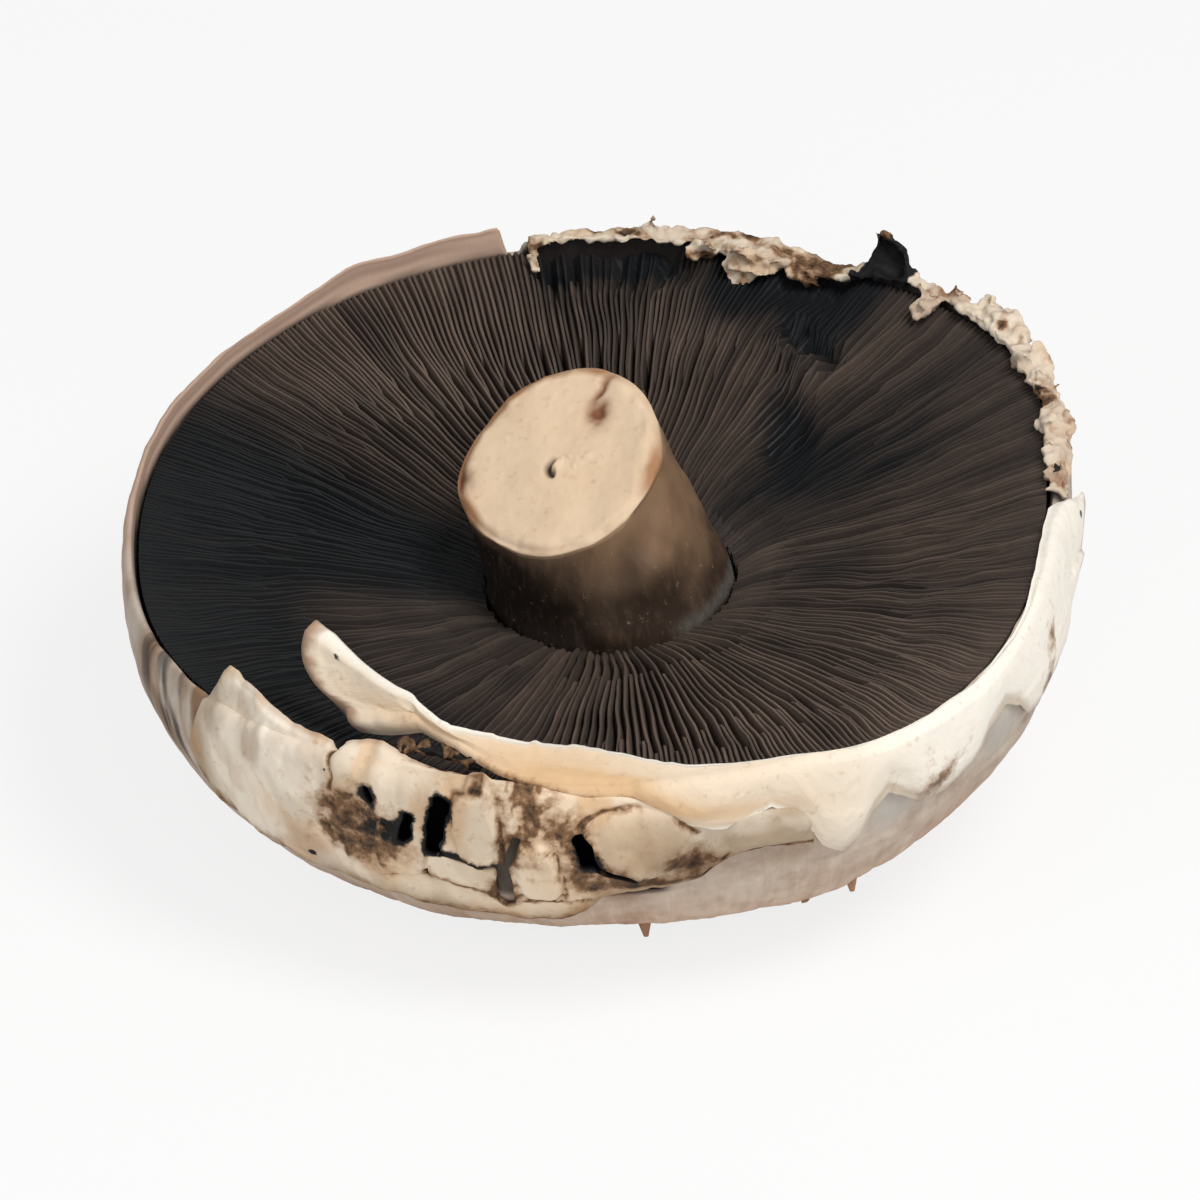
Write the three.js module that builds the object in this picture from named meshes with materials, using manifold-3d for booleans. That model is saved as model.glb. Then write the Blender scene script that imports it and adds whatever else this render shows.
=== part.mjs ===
// A portobello mushroom (an open, mature Agaricus bisporus) lying on its crown with its gills up.
// Millimetres, +Z up, origin on the table under the middle of the mushroom.
//
// The mushroom is shaped in its own upright frame, in which the gill edge is the plane z = 0, the stem points
// along +Z and angles run counterclockwise from +X. One group then leans that frame over, as the cap lies.

import * as THREE from "three";
import { mergeVertices } from "three/addons/utils/BufferGeometryUtils.js";
import Module from "manifold-3d";

const wasm = await Module();
wasm.setup();

// ---------------------------------------------------------------- driving dimensions

const GAP = 0.3; // clearance between pieces that touch

// The gill edge, an uneven ring: its radius every 30 degrees from +X.
const RIM_RADII = [54.5, 58.8, 59, 59.5, 59, 57, 56.5, 59, 60, 60.5, 61, 57.5];
const RIM_MEAN = 58;

const CAP = {
  depth: 37, // from the gill edge down to the crown
  widestDepth: 3, // where the side is widest, under the gill edge
  overhang: 1.6, // how far the side stands outside the gill edge
  lipHeight: 0.6, // how far the lip stands above the gill edge
  lipInset: 0.6, // top of the lip, outside the gill edge
  squareness: 2.4, // exponent of the dome's superellipse
  sideways: 2, // how far the crown is off to +X
};

const GILLS = {
  count: 90, // ridges that stand for the lamellae
  drop: 9.4, // how far the gill surface falls from the edge to the stem
  edgeDepth: 3, // blade depth at the cap's edge
  fullness: 5.5, // extra blade depth halfway to the stem
  ridge: 2.2, // height of a ridge over the groove beside it
  ridgeFade: 0.12, // share of the half wave that a ridge's two ends leave out
};

const STEM = {
  baseRadius: 15.1,
  cutRadius: 12.6,
  flare: [-0.3, 1.1], // where the narrowing starts and ends, as shares of the way from foot to cut
  lean: -3.9, // sideways, at the middle of the cut
  cutHeight: 8.3, // middle of the cut, above the gill edge
  cutNormal: new THREE.Vector3(-0.28, -0.33, 0.9),
};

const TABLE = { size: 200, thickness: 20 }; // what the crown is pressed flat against
const SPLIT = { angle: 100, width: 3.2, length: 7 }; // the tear right through the cap's edge

// How the mushroom lies: the direction of its stem axis, and where the middle of its gill edge is. The crown
// reaches about a millimetre below the table, and what is below it is pressed flat.
const STEM_AXIS = new THREE.Vector3(-0.058, -0.069, 0.996).normalize();
const RIM_CENTRE = new THREE.Vector3(0.1, 0.7, 36);

// ---------------------------------------------------------------- small helpers

const radians = THREE.MathUtils.degToRad;
const { smoothstep, lerp } = THREE.MathUtils;
const polar = (angle, r, z) => new THREE.Vector3(r * Math.cos(angle), r * Math.sin(angle), z);

// The rim's radius at an angle in radians: a smooth closed curve through RIM_RADII.
function rimRadius(angle) {
  const n = RIM_RADII.length;
  const at = (((angle / (2 * Math.PI)) * n) % n) + n;
  const i = Math.floor(at);
  const t = at - i;
  const [a, b, c, d] = [-1, 0, 1, 2].map((k) => RIM_RADII[(i + k) % n]);
  return b + 0.5 * t * (c - a + t * (2 * a - 5 * b + 4 * c - d + t * (3 * (b - c) + d - a)));
}

// A straight line between [angle in degrees, value] pairs, level past both ends.
function along(pairs, degrees) {
  const next = pairs.findIndex(([a]) => a >= degrees);
  if (next < 0) return pairs[pairs.length - 1][1];
  if (next === 0) return pairs[0][1];
  const [[a0, v0], [a1, v1]] = [pairs[next - 1], pairs[next]];
  return lerp(v0, v1, (degrees - a0) / (a1 - a0));
}

function toSolid(geometry) {
  const bare = geometry.clone();
  bare.deleteAttribute("normal");
  bare.deleteAttribute("uv");
  const merged = mergeVertices(bare, 1e-3);
  return new wasm.Manifold(
    new wasm.Mesh({
      numProp: 3,
      vertProperties: merged.attributes.position.array,
      triVerts: new Uint32Array(merged.index.array),
    }),
  );
}

function toGeometry(solid) {
  const mesh = solid.getMesh();
  return new THREE.BufferGeometry()
    .setAttribute("position", new THREE.BufferAttribute(mesh.vertProperties, 3))
    .setIndex(new THREE.BufferAttribute(mesh.triVerts, 1));
}

// Sets a point of the mushroom: what is under the gill edge slides towards +X with depth.
function settle(x, y, z) {
  return new THREE.Vector3(x + (CAP.sideways * Math.max(-z, 0)) / CAP.depth, y, z);
}

// A turned shape about +Z whose profile is a list of [radius, height], each vertex then moved by
// shape(angle, radius, height), which returns its [radius, height].
function turned(profile, segments, shape) {
  const geometry = new THREE.LatheGeometry(
    profile.map(([r, z]) => new THREE.Vector2(r, z)),
    segments,
  ).rotateX(Math.PI / 2);
  const position = geometry.attributes.position;
  for (let i = 0; i < position.count; i++) {
    const [x, y, z] = [position.getX(i), position.getY(i), position.getZ(i)];
    const r = Math.hypot(x, y);
    const angle = Math.atan2(y, x);
    const [newR, newZ] = r < 1e-6 ? [0, z] : shape(angle, r, z);
    position.setXYZ(i, ...settle(Math.cos(angle) * newR, Math.sin(angle) * newR, newZ));
  }
  return geometry;
}

// Moves a radius out or in so that RIM_MEAN becomes the true rim radius, while what is near the stem stays.
function followRim(angle, r) {
  return r + (rimRadius(angle) - RIM_MEAN) * smoothstep(r, STEM.baseRadius, RIM_MEAN);
}

// A curved plate from two grids of points of the same size, one for each face.
function plate(upper, lower) {
  const rows = upper.length;
  const columns = upper[0].length;
  const points = [...upper.flat(), ...lower.flat()];
  const u = (i, j) => i * columns + j;
  const l = (i, j) => (rows + i) * columns + j;
  const index = [];
  const quad = (a, b, c, d) => index.push(a, b, c, a, c, d);
  for (let i = 0; i < rows - 1; i++) {
    for (let j = 0; j < columns - 1; j++) {
      quad(u(i, j), u(i + 1, j), u(i + 1, j + 1), u(i, j + 1));
      quad(l(i, j), l(i, j + 1), l(i + 1, j + 1), l(i + 1, j));
    }
    quad(u(i, 0), l(i, 0), l(i + 1, 0), u(i + 1, 0));
    quad(u(i, columns - 1), u(i + 1, columns - 1), l(i + 1, columns - 1), l(i, columns - 1));
  }
  for (let j = 0; j < columns - 1; j++) {
    quad(u(0, j), u(0, j + 1), l(0, j + 1), l(0, j));
    quad(u(rows - 1, j), l(rows - 1, j), l(rows - 1, j + 1), u(rows - 1, j + 1));
  }
  return new THREE.BufferGeometry().setFromPoints(points).setIndex(index);
}

// ---------------------------------------------------------------- surfaces that several pieces share

// How far out a point is between the stem (0) and the gill edge (1).
const outward = (r) => THREE.MathUtils.clamp((r - STEM.baseRadius) / (RIM_MEAN - STEM.baseRadius), 0, 1);
const gillTop = (r) => -GILLS.drop * (1 - outward(r));
const gillBed = (r) => gillTop(r) - GILLS.edgeDepth - GILLS.fullness * Math.sin(Math.PI * outward(r));

// The outside of the cap in section: its radius at a height, where the gill edge is at RIM_MEAN. A
// superellipse makes the dome, and a quarter of an ellipse rolls the edge in to the top of the lip.
function outsideRadius(z) {
  if (z < -CAP.widestDepth) {
    const down = Math.min((-CAP.widestDepth - z) / (CAP.depth - CAP.widestDepth), 1);
    return (RIM_MEAN + CAP.overhang) * (1 - down ** CAP.squareness) ** (1 / CAP.squareness);
  }
  const up = Math.min((z + CAP.widestDepth) / (CAP.lipHeight + CAP.widestDepth), 1);
  return RIM_MEAN + CAP.lipInset + (CAP.overhang - CAP.lipInset) * Math.sqrt(1 - up * up);
}

// ---------------------------------------------------------------- how the mushroom lies

const lying = new THREE.Group();
lying.quaternion.setFromUnitVectors(new THREE.Vector3(0, 0, 1), STEM_AXIS);
lying.position.copy(RIM_CENTRE);
lying.updateMatrix();

// ---------------------------------------------------------------- cap

// Flesh and skin in one: the dome, the rolled edge, and the bed that the gills grow from.
function capProfile() {
  const dome = 11;
  const profile = [[0, -CAP.depth]];
  for (let i = 1; i < dome; i++) {
    const down = Math.cos(((i / dome) * Math.PI) / 2) ** (2 / CAP.squareness);
    const z = lerp(-CAP.widestDepth, -CAP.depth, down);
    profile.push([outsideRadius(z), z]);
  }
  for (const share of [0, 0.4, 0.7, 0.9, 0.98, 1]) {
    const z = lerp(-CAP.widestDepth, CAP.lipHeight, share);
    profile.push([outsideRadius(z), z]);
  }
  profile.push([RIM_MEAN, -GAP]);
  for (const r of [57.6, 50, 42, 34, 26, 20, 16]) profile.push([r, gillBed(r) - GAP]);
  profile.push([0, gillBed(STEM.baseRadius) - GAP]);
  return profile;
}

function makeCap() {
  const whole = toSolid(turned(capProfile(), 72, (angle, r, z) => [followRim(angle, r), z]));
  const table = new THREE.BoxGeometry(TABLE.size, TABLE.size, TABLE.thickness)
    .translate(0, 0, -TABLE.thickness / 2)
    .applyMatrix4(lying.matrix.clone().invert());
  const split = new THREE.CylinderGeometry(SPLIT.width / 2, 0.2, SPLIT.length * 2, 6, 1)
    .rotateZ(-Math.PI / 2)
    .scale(1, 1, 3)
    .translate(rimRadius(radians(SPLIT.angle)) + 3, 0, 0)
    .rotateZ(radians(SPLIT.angle));
  return toGeometry(whole.subtract(toSolid(table)).subtract(toSolid(split)));
}

// ---------------------------------------------------------------- gills

// The ring of lamellae, drawn as ridges that run out from the stem.
function makeGills() {
  const inner = STEM.baseRadius + 2 * GAP;
  const outer = RIM_MEAN - 2 * GAP;
  const radii = [inner, 24, 34, 44, 52, outer];
  const top = radii.map((r) => [r, gillTop(r) - GAP]);
  const bed = radii.map((r) => [r, gillBed(r)]).reverse();
  const closed = [...top, ...bed, top[0]].reverse();
  const segments = GILLS.count * 2;
  const shape = (angle, r, z) => {
    const isTop = z > gillBed(r) + 1;
    const isGroove = Math.round((angle / (2 * Math.PI)) * segments) % 2 !== 0;
    const fade = Math.sin(Math.PI * lerp(GILLS.ridgeFade, 1 - GILLS.ridgeFade, outward(r)));
    return [followRim(angle, r), isTop && isGroove ? z - GILLS.ridge * fade : z];
  };
  return turned(closed, segments, shape);
}

// ---------------------------------------------------------------- stem

// A short stalk that widens into the cap, leans a little and is cut off on the slant.
function makeStem() {
  const foot = gillBed(STEM.baseRadius);
  const cutMiddle = new THREE.Vector3(STEM.lean, 0, STEM.cutHeight);
  const tall = STEM.cutHeight + STEM.cutRadius; // above the highest point of the slanted cut
  const profile = [[0, foot]];
  const steps = 10;
  for (let i = 0; i <= steps; i++) {
    const z = lerp(foot, tall, i / steps);
    const rise = (z + GILLS.drop) / (STEM.cutHeight + GILLS.drop);
    profile.push([lerp(STEM.baseRadius, STEM.cutRadius, smoothstep(rise, ...STEM.flare)), z]);
  }
  profile.push([0, tall]);
  const stalk = turned(profile, 40, (angle, r, z) => [r, z]);
  const position = stalk.attributes.position;
  for (let i = 0; i < position.count; i++) {
    const rise = (position.getZ(i) + GILLS.drop) / (STEM.cutHeight + GILLS.drop);
    position.setX(i, position.getX(i) + STEM.lean * Math.max(rise, 0) ** 1.3);
  }
  const knife = new THREE.BoxGeometry(80, 80, 40).translate(0, 0, 20);
  knife.applyQuaternion(
    new THREE.Quaternion().setFromUnitVectors(new THREE.Vector3(0, 0, 1), STEM.cutNormal.clone().normalize()),
  );
  knife.translate(cutMiddle.x, cutMiddle.y, cutMiddle.z);
  return toGeometry(toSolid(stalk).subtract(toSolid(knife)));
}

// ---------------------------------------------------------------- torn veil

// The points of a line in section, moved off it to its right.
function offset(line, distance) {
  return line.map(([r, z], i) => {
    const before = line[Math.max(i - 1, 0)];
    const after = line[Math.min(i + 1, line.length - 1)];
    const along = new THREE.Vector2(after[0] - before[0], after[1] - before[1]).normalize();
    return [r + along.y * distance, z - along.x * distance];
  });
}

// A strip of the torn veil that lies over the cap's edge. In section it climbs the outside of the edge from
// `down` under the gill edge to `short` of the lip, then goes on in over the gills. Each setting is a number
// or a list of [angle, value] pairs: thick, down, short, reach and rise (how far its inner edge goes in and
// up), pull and lift (how far the strip has come off the edge), and skew (how many degrees its inner edge is
// swung back).
function makeStrip(settings) {
  const { from, to, step } = { step: 5, ...settings };
  const value = (name, degrees) => {
    const setting = settings[name] ?? 0;
    return Array.isArray(setting) ? along(setting, degrees) : setting;
  };
  const overEdge = 5;
  const overGills = 3;
  const upper = [];
  const lower = [];
  const rows = Math.round((to - from) / step);
  for (let i = 0; i <= rows; i++) {
    const degrees = lerp(from, to, i / rows);
    const line = [];
    for (let j = 0; j <= overEdge; j++) {
      const share = Math.sin(((j / overEdge) * Math.PI) / 2);
      const z = lerp(-value("down", degrees), CAP.lipHeight - value("short", degrees), share);
      line.push([outsideRadius(z), z]);
    }
    const [lipR, lipZ] = line[overEdge];
    for (let j = 1; j <= overGills; j++) {
      const t = j / overGills;
      line.push([lipR - t * value("reach", degrees), lipZ + t * t * value("rise", degrees)]);
    }
    const place = ([r, z], j) => {
      const angle = radians(degrees - (value("skew", degrees) * j) / (line.length - 1));
      const out = followRim(angle, r) - value("pull", degrees);
      return settle(out * Math.cos(angle), out * Math.sin(angle), z + value("lift", degrees));
    };
    lower.push(offset(line, GAP).map(place));
    upper.push(offset(line, GAP + value("thick", degrees)).map(place));
  }
  return plate(upper, lower);
}

// The long strip that covers the front and right of the edge. Its left end has peeled off and stands
// up over the gills.
const frontFlap = {
  from: 234.5,
  to: 362,
  step: 4.25,
  thick: [[234, 1.1], [239, 1.7], [300, 1.5], [362, 0.8]],
  down: [[234, -0.1], [271, -0.1], [279, 4.5], [288, 5], [295, 11], [301, 8], [330, 8], [362, 3]],
  reach: [[234, 6], [242, 5.5], [252, 7], [268, 6.6], [280, 2.6], [290, 1.2], [340, 0.9], [362, 0.6]],
  rise: [[234, 7], [242, 4.4], [252, 2.8], [268, 1.4], [287, 0]],
  pull: [[234, 7.5], [242, 6], [252.5, 0]],
  lift: [[234, 1.4], [252, 0.7], [259, 0]],
  skew: [[234, 11.5], [242, 4], [258, 0]],
};

// The torn, cracked piece at the front left. It stands up at its left end and passes under the long strip.
const leftFlap = {
  from: 205,
  to: 271,
  step: 3.3,
  thick: [[205, 0.8], [213, 1.4], [271, 1.2]],
  down: [[205, 3], [214, 8], [230, 13], [271, 14]],
  short: [[205, 0], [245, 0], [250, 2], [271, 2]],
  reach: [[205, 0.3], [219, 1.6], [240, 0.6], [245, 0]],
  rise: [[205, 0], [213, 0.8], [219, 3.8], [226, 1.4], [231, 0.2], [240, 0.2], [245, 0.5]],
};

// The crumbled remains at the right and back, which curl in over the gills.
const backFringe = {
  from: 5,
  to: 94,
  step: 3.5,
  thick: [[5, 0.9], [14, 1.6], [24, 1.2], [32, 2.2], [46, 1.2], [54, 1.6], [62, 2.2], [94, 0.9]],
  down: [[5, 1], [24, 5], [46, 0.4], [64, 4], [94, 1]],
  reach: [[5, 0.8], [20, 2.6], [32, 3.8], [46, 1.4], [64, 5], [78, 3.2], [94, 1]],
  rise: [[5, 0], [32, -0.2], [46, 0.6], [51, 3], [56, 0.4], [64, -0.2], [94, 0]],
};

// ---------------------------------------------------------------- the mushroom

function piece(name, geometry, color, roughness) {
  const mesh = new THREE.Mesh(
    geometry,
    new THREE.MeshStandardMaterial({ color, roughness, metalness: 0 }),
  );
  mesh.name = name;
  return mesh;
}

lying.add(
  piece("cap", makeCap(), 0xb68f73, 0.75),
  piece("gills", makeGills(), 0x443a33, 0.85),
  piece("stem", makeStem(), 0xc2a482, 0.7),
  piece("front_veil_flap", makeStrip(frontFlap), 0xeedec7, 0.6),
  piece("left_veil_flap", makeStrip(leftFlap), 0xd9c6ae, 0.7),
  piece("back_veil_fringe", makeStrip(backFringe), 0xd7cab6, 0.7),
);

const mushroom = new THREE.Group();
mushroom.add(lying);

export default mushroom;
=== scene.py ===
# %% [markdown]
# # A portobello mushroom, lying on its crown
# The gills look up, the stem is cut off on a slant, and the veil that once joined stem and rim hangs torn
# round the edge. The construction model gives the true size and place of every organ; this notebook gives
# each of them its living surface. It starts by loading that model, which stays as it is.

# %% Load the construction model
import itertools
import math

import bmesh
import bpy
import numpy as np
from mathutils import Matrix, Vector


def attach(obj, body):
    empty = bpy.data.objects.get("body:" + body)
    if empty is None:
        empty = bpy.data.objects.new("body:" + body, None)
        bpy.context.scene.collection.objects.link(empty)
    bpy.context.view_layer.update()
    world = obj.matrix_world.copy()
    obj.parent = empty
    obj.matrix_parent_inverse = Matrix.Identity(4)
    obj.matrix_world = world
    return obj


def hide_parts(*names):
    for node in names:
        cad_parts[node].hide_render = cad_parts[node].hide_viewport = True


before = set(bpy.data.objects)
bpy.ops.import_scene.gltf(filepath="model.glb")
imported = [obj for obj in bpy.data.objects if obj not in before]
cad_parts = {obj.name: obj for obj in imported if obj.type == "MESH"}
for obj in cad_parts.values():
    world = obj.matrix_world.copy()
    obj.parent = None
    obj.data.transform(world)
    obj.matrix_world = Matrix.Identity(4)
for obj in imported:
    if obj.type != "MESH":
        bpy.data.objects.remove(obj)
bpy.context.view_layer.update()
print("organs:", sorted(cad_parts))

# %% [markdown]
# ## The mushroom's own frame
# A mushroom is easiest to shape upright: the gill edge is the plane z = 0, the stem points up, and angles
# run round the stem from +X, in millimetres. One function, `lay`, then leans that frame over as the cap
# lies, and turns millimetres to metres. The sizes below are those of the construction model.

# %% Driving sizes, in millimetres
RIM_RADII = [54.5, 58.8, 59, 59.5, 59, 57, 56.5, 59, 60, 60.5, 61, 57.5]  # every 30 degrees
RIM_MEAN = 58
CROWN_DEPTH, WIDEST_DEPTH, OVERHANG = 37, 3, 1.6
LIP_HEIGHT, LIP_INSET, SQUARENESS, SIDEWAYS = 0.6, 0.6, 2.4, 2
GILL_DROP, GILL_EDGE_DEPTH, GILL_FULLNESS = 9.4, 3.0, 5.5
STEM_BASE, STEM_CUT, STEM_LEAN, CUT_HEIGHT = 15.1, 12.6, -3.9, 8.3
CUT_NORMAL = Vector((-0.28, -0.33, 0.9)).normalized()
RIM_CENTRE = np.array([0.1, 0.7, 36.0])
LEAN = np.array(Vector((0, 0, 1)).rotation_difference(Vector((-0.058, -0.069, 0.996))).to_matrix())


def lay(points):
    """Points of the upright mushroom, in mm, as it lies in the frame, in metres."""
    points = np.array(points, float)
    points[..., 0] += SIDEWAYS / CROWN_DEPTH * np.maximum(-points[..., 2], 0)
    return (points @ LEAN.T + RIM_CENTRE) * 0.001


def smooth(x, low, high):
    """0 below low, 1 above high, and an S-curve between them."""
    t = np.clip((np.asarray(x, float) - low) / (high - low), 0, 1)
    return t * t * (3 - 2 * t)


def window(x, rises, full, falls, gone):
    """1 from full to falls, 0 before rises and past gone, and S-curves between them."""
    return smooth(x, rises, full) * smooth(x, gone, falls)


def rim_radius(angle):
    """The gill edge's radius at angles in radians: a smooth closed curve through RIM_RADII."""
    radii = np.array(RIM_RADII)
    at = np.asarray(angle) / (2 * math.pi) * len(radii)
    i = np.floor(at).astype(int)
    t = at - i
    a, b, c, d = (radii[(i + k) % len(radii)] for k in (-1, 0, 1, 2))
    return b + 0.5 * t * (c - a + t * (2 * a - 5 * b + 4 * c - d + t * (3 * (b - c) + d - a)))


def edge_dip(degrees):
    """How far the whole edge hangs below the gill edge's plane at the front right."""
    return 1.5 * window(degrees, 290, 303, 322, 338)


def rear_dip(degrees):
    """How far the whole edge is broken down at the back right."""
    return 2.2 * window(degrees, 56, 60, 65, 69)


def follow_rim(angle, r):
    """A mean radius moved out or in with the uneven rim, while what is near the stem stays round."""
    return r + (rim_radius(angle) - RIM_MEAN) * smooth(r, STEM_BASE, RIM_MEAN)


def polar(angle, r, z):
    return np.stack(np.broadcast_arrays(r * np.cos(angle), r * np.sin(angle), z), axis=-1)


def outside_radius(z):
    """The mean radius of the cap's outside at a height: a dome, rolled in to the top of the lip."""
    down = np.clip((-WIDEST_DEPTH - z) / (CROWN_DEPTH - WIDEST_DEPTH), 0, 1)
    dome = (RIM_MEAN + OVERHANG) * (1 - down**SQUARENESS) ** (1 / SQUARENESS)
    up = np.clip((z + WIDEST_DEPTH) / (LIP_HEIGHT + WIDEST_DEPTH), 0, 1)
    return np.where(up > 0, RIM_MEAN + LIP_INSET + (OVERHANG - LIP_INSET) * np.sqrt(1 - up * up), dome)


def outward(r):
    """How far out between the stem (0) and the gill edge (1)."""
    return np.clip((r - STEM_BASE) / (RIM_MEAN - STEM_BASE), 0, 1)


def gill_top(r):
    return -GILL_DROP * (1 - outward(r))


def gill_bed(r):
    return gill_top(r) - GILL_EDGE_DEPTH - GILL_FULLNESS * np.sin(math.pi * outward(r))


print("rim across, mm:", round(float(rim_radius(0) + rim_radius(math.pi)), 1))

# %% [markdown]
# ## Irregularity
# Nothing on a mushroom is even. `noise` gives smooth bumps of a chosen size, in millimetres: a random number
# sits on every corner of a grid of cubes, and the value between corners is blended. The random number is
# worked out from the corner's whole numbers and a seed, so each run gives the same mushroom.


# %% Seeded noise and simple curves
def corner_value(corner, seed):
    """A number from -1 to 1 for each whole-number corner."""
    mixed = (corner[..., 0] * 73856093) ^ (corner[..., 1] * 19349663) ^ (corner[..., 2] * 83492791)
    mixed = (mixed ^ (seed * 49979687) ^ (mixed >> 13)) * 1274126177
    return ((mixed ^ (mixed >> 16)) & 0xFFFFFF) / 0x7FFFFF - 1


def noise(points, size, seed, octaves=2):
    """Bumps from about -1 to 1, `size` mm apart, at points (..., 3), with finer ones on top."""
    at = np.asarray(points, float) / size
    total, strength, whole = 0, 1, 0
    for octave in range(octaves):
        cell = np.floor(at).astype(np.int64)
        t = at - cell
        t = t * t * (3 - 2 * t)
        for corner in itertools.product((0, 1), repeat=3):
            weight = np.prod(np.where(corner, t, 1 - t), axis=-1)
            total = total + strength * weight * corner_value(cell + np.array(corner), seed + octave)
        whole += strength
        strength *= 0.5
        at = at * 2 + 17.3
    return 1.6 * total / whole


def along(pairs, degrees):
    """A value that goes straight from one (angle, value) pair to the next."""
    return np.interp(degrees, [a for a, _ in pairs], [v for _, v in pairs])

# %% [markdown]
# ## Meshes from grids
# Cap, stem and veil start as points in rows and columns, because a grid is easy to reason about: a column
# follows the organ's section, and the columns stand side by side round the stem. `ring_mesh` joins the last
# column to the first and closes both ends with a point, and `sheet_mesh` makes a closed slab from the two
# faces of a sheet, leaving out the cells where the tissue is torn away.


# %% Mesh helpers
def in_scene(name, data):
    """A new object with this data, in the scene."""
    made = bpy.data.objects.new(name, data)
    bpy.context.collection.objects.link(made)
    return made


def shade_smooth(mesh):
    mesh.polygons.foreach_set("use_smooth", [True] * len(mesh.polygons))


def paint_points(mesh, paints):
    """Gives a mesh a point attribute for each paint, for its material to read."""
    for paint, values in paints.items():
        kind, field = ("FLOAT_VECTOR", "vector") if values.ndim == 2 else ("FLOAT", "value")
        mesh.attributes.new(paint, kind, "POINT").data.foreach_set(field, np.ravel(values).astype(np.float32))


def read_points(mesh, field):
    """The places ("co") or normals ("normal") of a mesh's points, as an array (points, 3)."""
    flat = np.empty(len(mesh.vertices) * 3)
    mesh.vertices.foreach_get(field, flat)
    return flat.reshape(-1, 3)


def new_piece(name, vertices, faces, paints):
    """A smooth-shaded object at the origin, with its place in its mesh and its paints on its points."""
    mesh = bpy.data.meshes.new(name)
    mesh.from_pydata(vertices.tolist(), [], faces)
    paint_points(mesh, paints)
    piece = in_scene(name, mesh)
    shape = bmesh.new()
    shape.from_mesh(mesh)
    bmesh.ops.recalc_face_normals(shape, faces=shape.faces)
    shape.to_mesh(mesh)
    shape.free()
    shade_smooth(mesh)
    print(f"{name}: {len(mesh.vertices)} points, {len(mesh.polygons)} faces")
    return piece


def ring_mesh(name, points, paints):
    """A closed form from points (rows, columns, 3) that go round; the end rows shrink to a point."""
    rows, columns = points.shape[:2]
    grid = np.arange(rows * columns).reshape(rows, columns)
    after = np.roll(grid, -1, axis=1)
    quads = np.stack([grid[:-1], after[:-1], after[1:], grid[1:]], axis=-1).reshape(-1, 4).tolist()
    start, end = rows * columns, rows * columns + 1
    quads += [(start, int(b), int(a)) for a, b in zip(grid[0], after[0])]
    quads += [(end, int(a), int(b)) for a, b in zip(grid[-1], after[-1])]
    vertices = np.concatenate([points.reshape(-1, 3), points[0].mean(0)[None], points[-1].mean(0)[None]])
    closed = {
        paint: np.concatenate([v.reshape(rows * columns, *v.shape[2:]), v[:1].mean(1), v[-1:].mean(1)])
        for paint, v in paints.items()
    }
    return new_piece(name, vertices, quads, closed)


def sheet_mesh(name, front, back, keep, paints):
    """A closed slab between two faces (rows, columns, 3), without the cells where keep is False."""
    rows, columns = front.shape[:2]
    size = rows * columns
    grid = np.arange(size).reshape(rows, columns)
    corners = np.stack([grid[:-1, :-1], grid[:-1, 1:], grid[1:, 1:], grid[1:, :-1]], axis=-1)
    faces = [list(map(int, c)) for c in corners[keep]]
    faces += [[int(i) + size for i in c[::-1]] for c in corners[keep]]
    padded = np.pad(keep, 1)
    for side, (dr, dc) in enumerate([(-1, 0), (0, 1), (1, 0), (0, -1)]):
        neighbour = padded[1 + dr : rows + dr, 1 + dc : columns + dc]
        for c in corners[keep & ~neighbour]:
            a, b = int(c[side]), int(c[(side + 1) % 4])
            faces.append([b, a, a + size, b + size])
    used = np.unique(np.concatenate([np.array(f) for f in faces]))
    renumber = np.full(2 * size, -1)
    renumber[used] = np.arange(len(used))
    vertices = np.concatenate([front.reshape(-1, 3), back.reshape(-1, 3)])[used]
    both = {paint: np.concatenate([v.reshape(size, *v.shape[2:])] * 2)[used] for paint, v in paints.items()}
    return new_piece(name, vertices, [[int(renumber[i]) for i in f] for f in faces], both)

# %% [markdown]
# ## Camera, light and floor
# The camera looks down at thirty degrees from far off with a long lens, so the shape is drawn almost
# without perspective. A big soft lamp hangs high on the right, and two weaker ones fill the left and the
# front. The floor glows white to the camera only, so that the glow doesn't tint the mushroom.

# %% Camera
TARGET = Vector((0.0, 0.0, 0.024))
VIEW_ELEVATION = math.radians(30)
VIEW_DISTANCE, VIEW_WIDTH, FARTHEST_SEEN = 4.0, 0.1455, 20  # metres
camera_data = bpy.data.cameras.new("camera")
camera_data.lens = camera_data.sensor_width * VIEW_DISTANCE / VIEW_WIDTH
camera_data.clip_end = FARTHEST_SEEN
camera = in_scene("camera", camera_data)
camera.location = TARGET + VIEW_DISTANCE * Vector((0, -math.cos(VIEW_ELEVATION), math.sin(VIEW_ELEVATION)))
camera.rotation_euler = (TARGET - camera.location).to_track_quat("-Z", "Y").to_euler()
bpy.context.scene.camera = camera
bpy.context.scene.view_settings.view_transform = "Standard"
print("lens, mm:", round(camera_data.lens))


# %% Lamps
def area_lamp(name, place, size, watts, colour=(1, 1, 1)):
    """A round soft lamp that looks at the mushroom."""
    data = bpy.data.lights.new(name, "AREA")
    data.shape, data.size, data.energy, data.color = "DISK", size, watts, colour
    lamp = in_scene(name, data)
    lamp.location = place
    lamp.rotation_euler = (TARGET - Vector(place)).to_track_quat("-Z", "Y").to_euler()
    print(f"{name} lamp: {watts} W")


area_lamp("key", (0.33, -0.28, 0.72), 0.4, 4.55, (1.0, 0.985, 0.96))
area_lamp("fill", (-0.6, -0.5, 0.45), 0.5, 1.2, (0.95, 0.98, 1.0))
area_lamp("front", (0.1, -0.8, 0.45), 0.5, 1.2)

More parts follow.
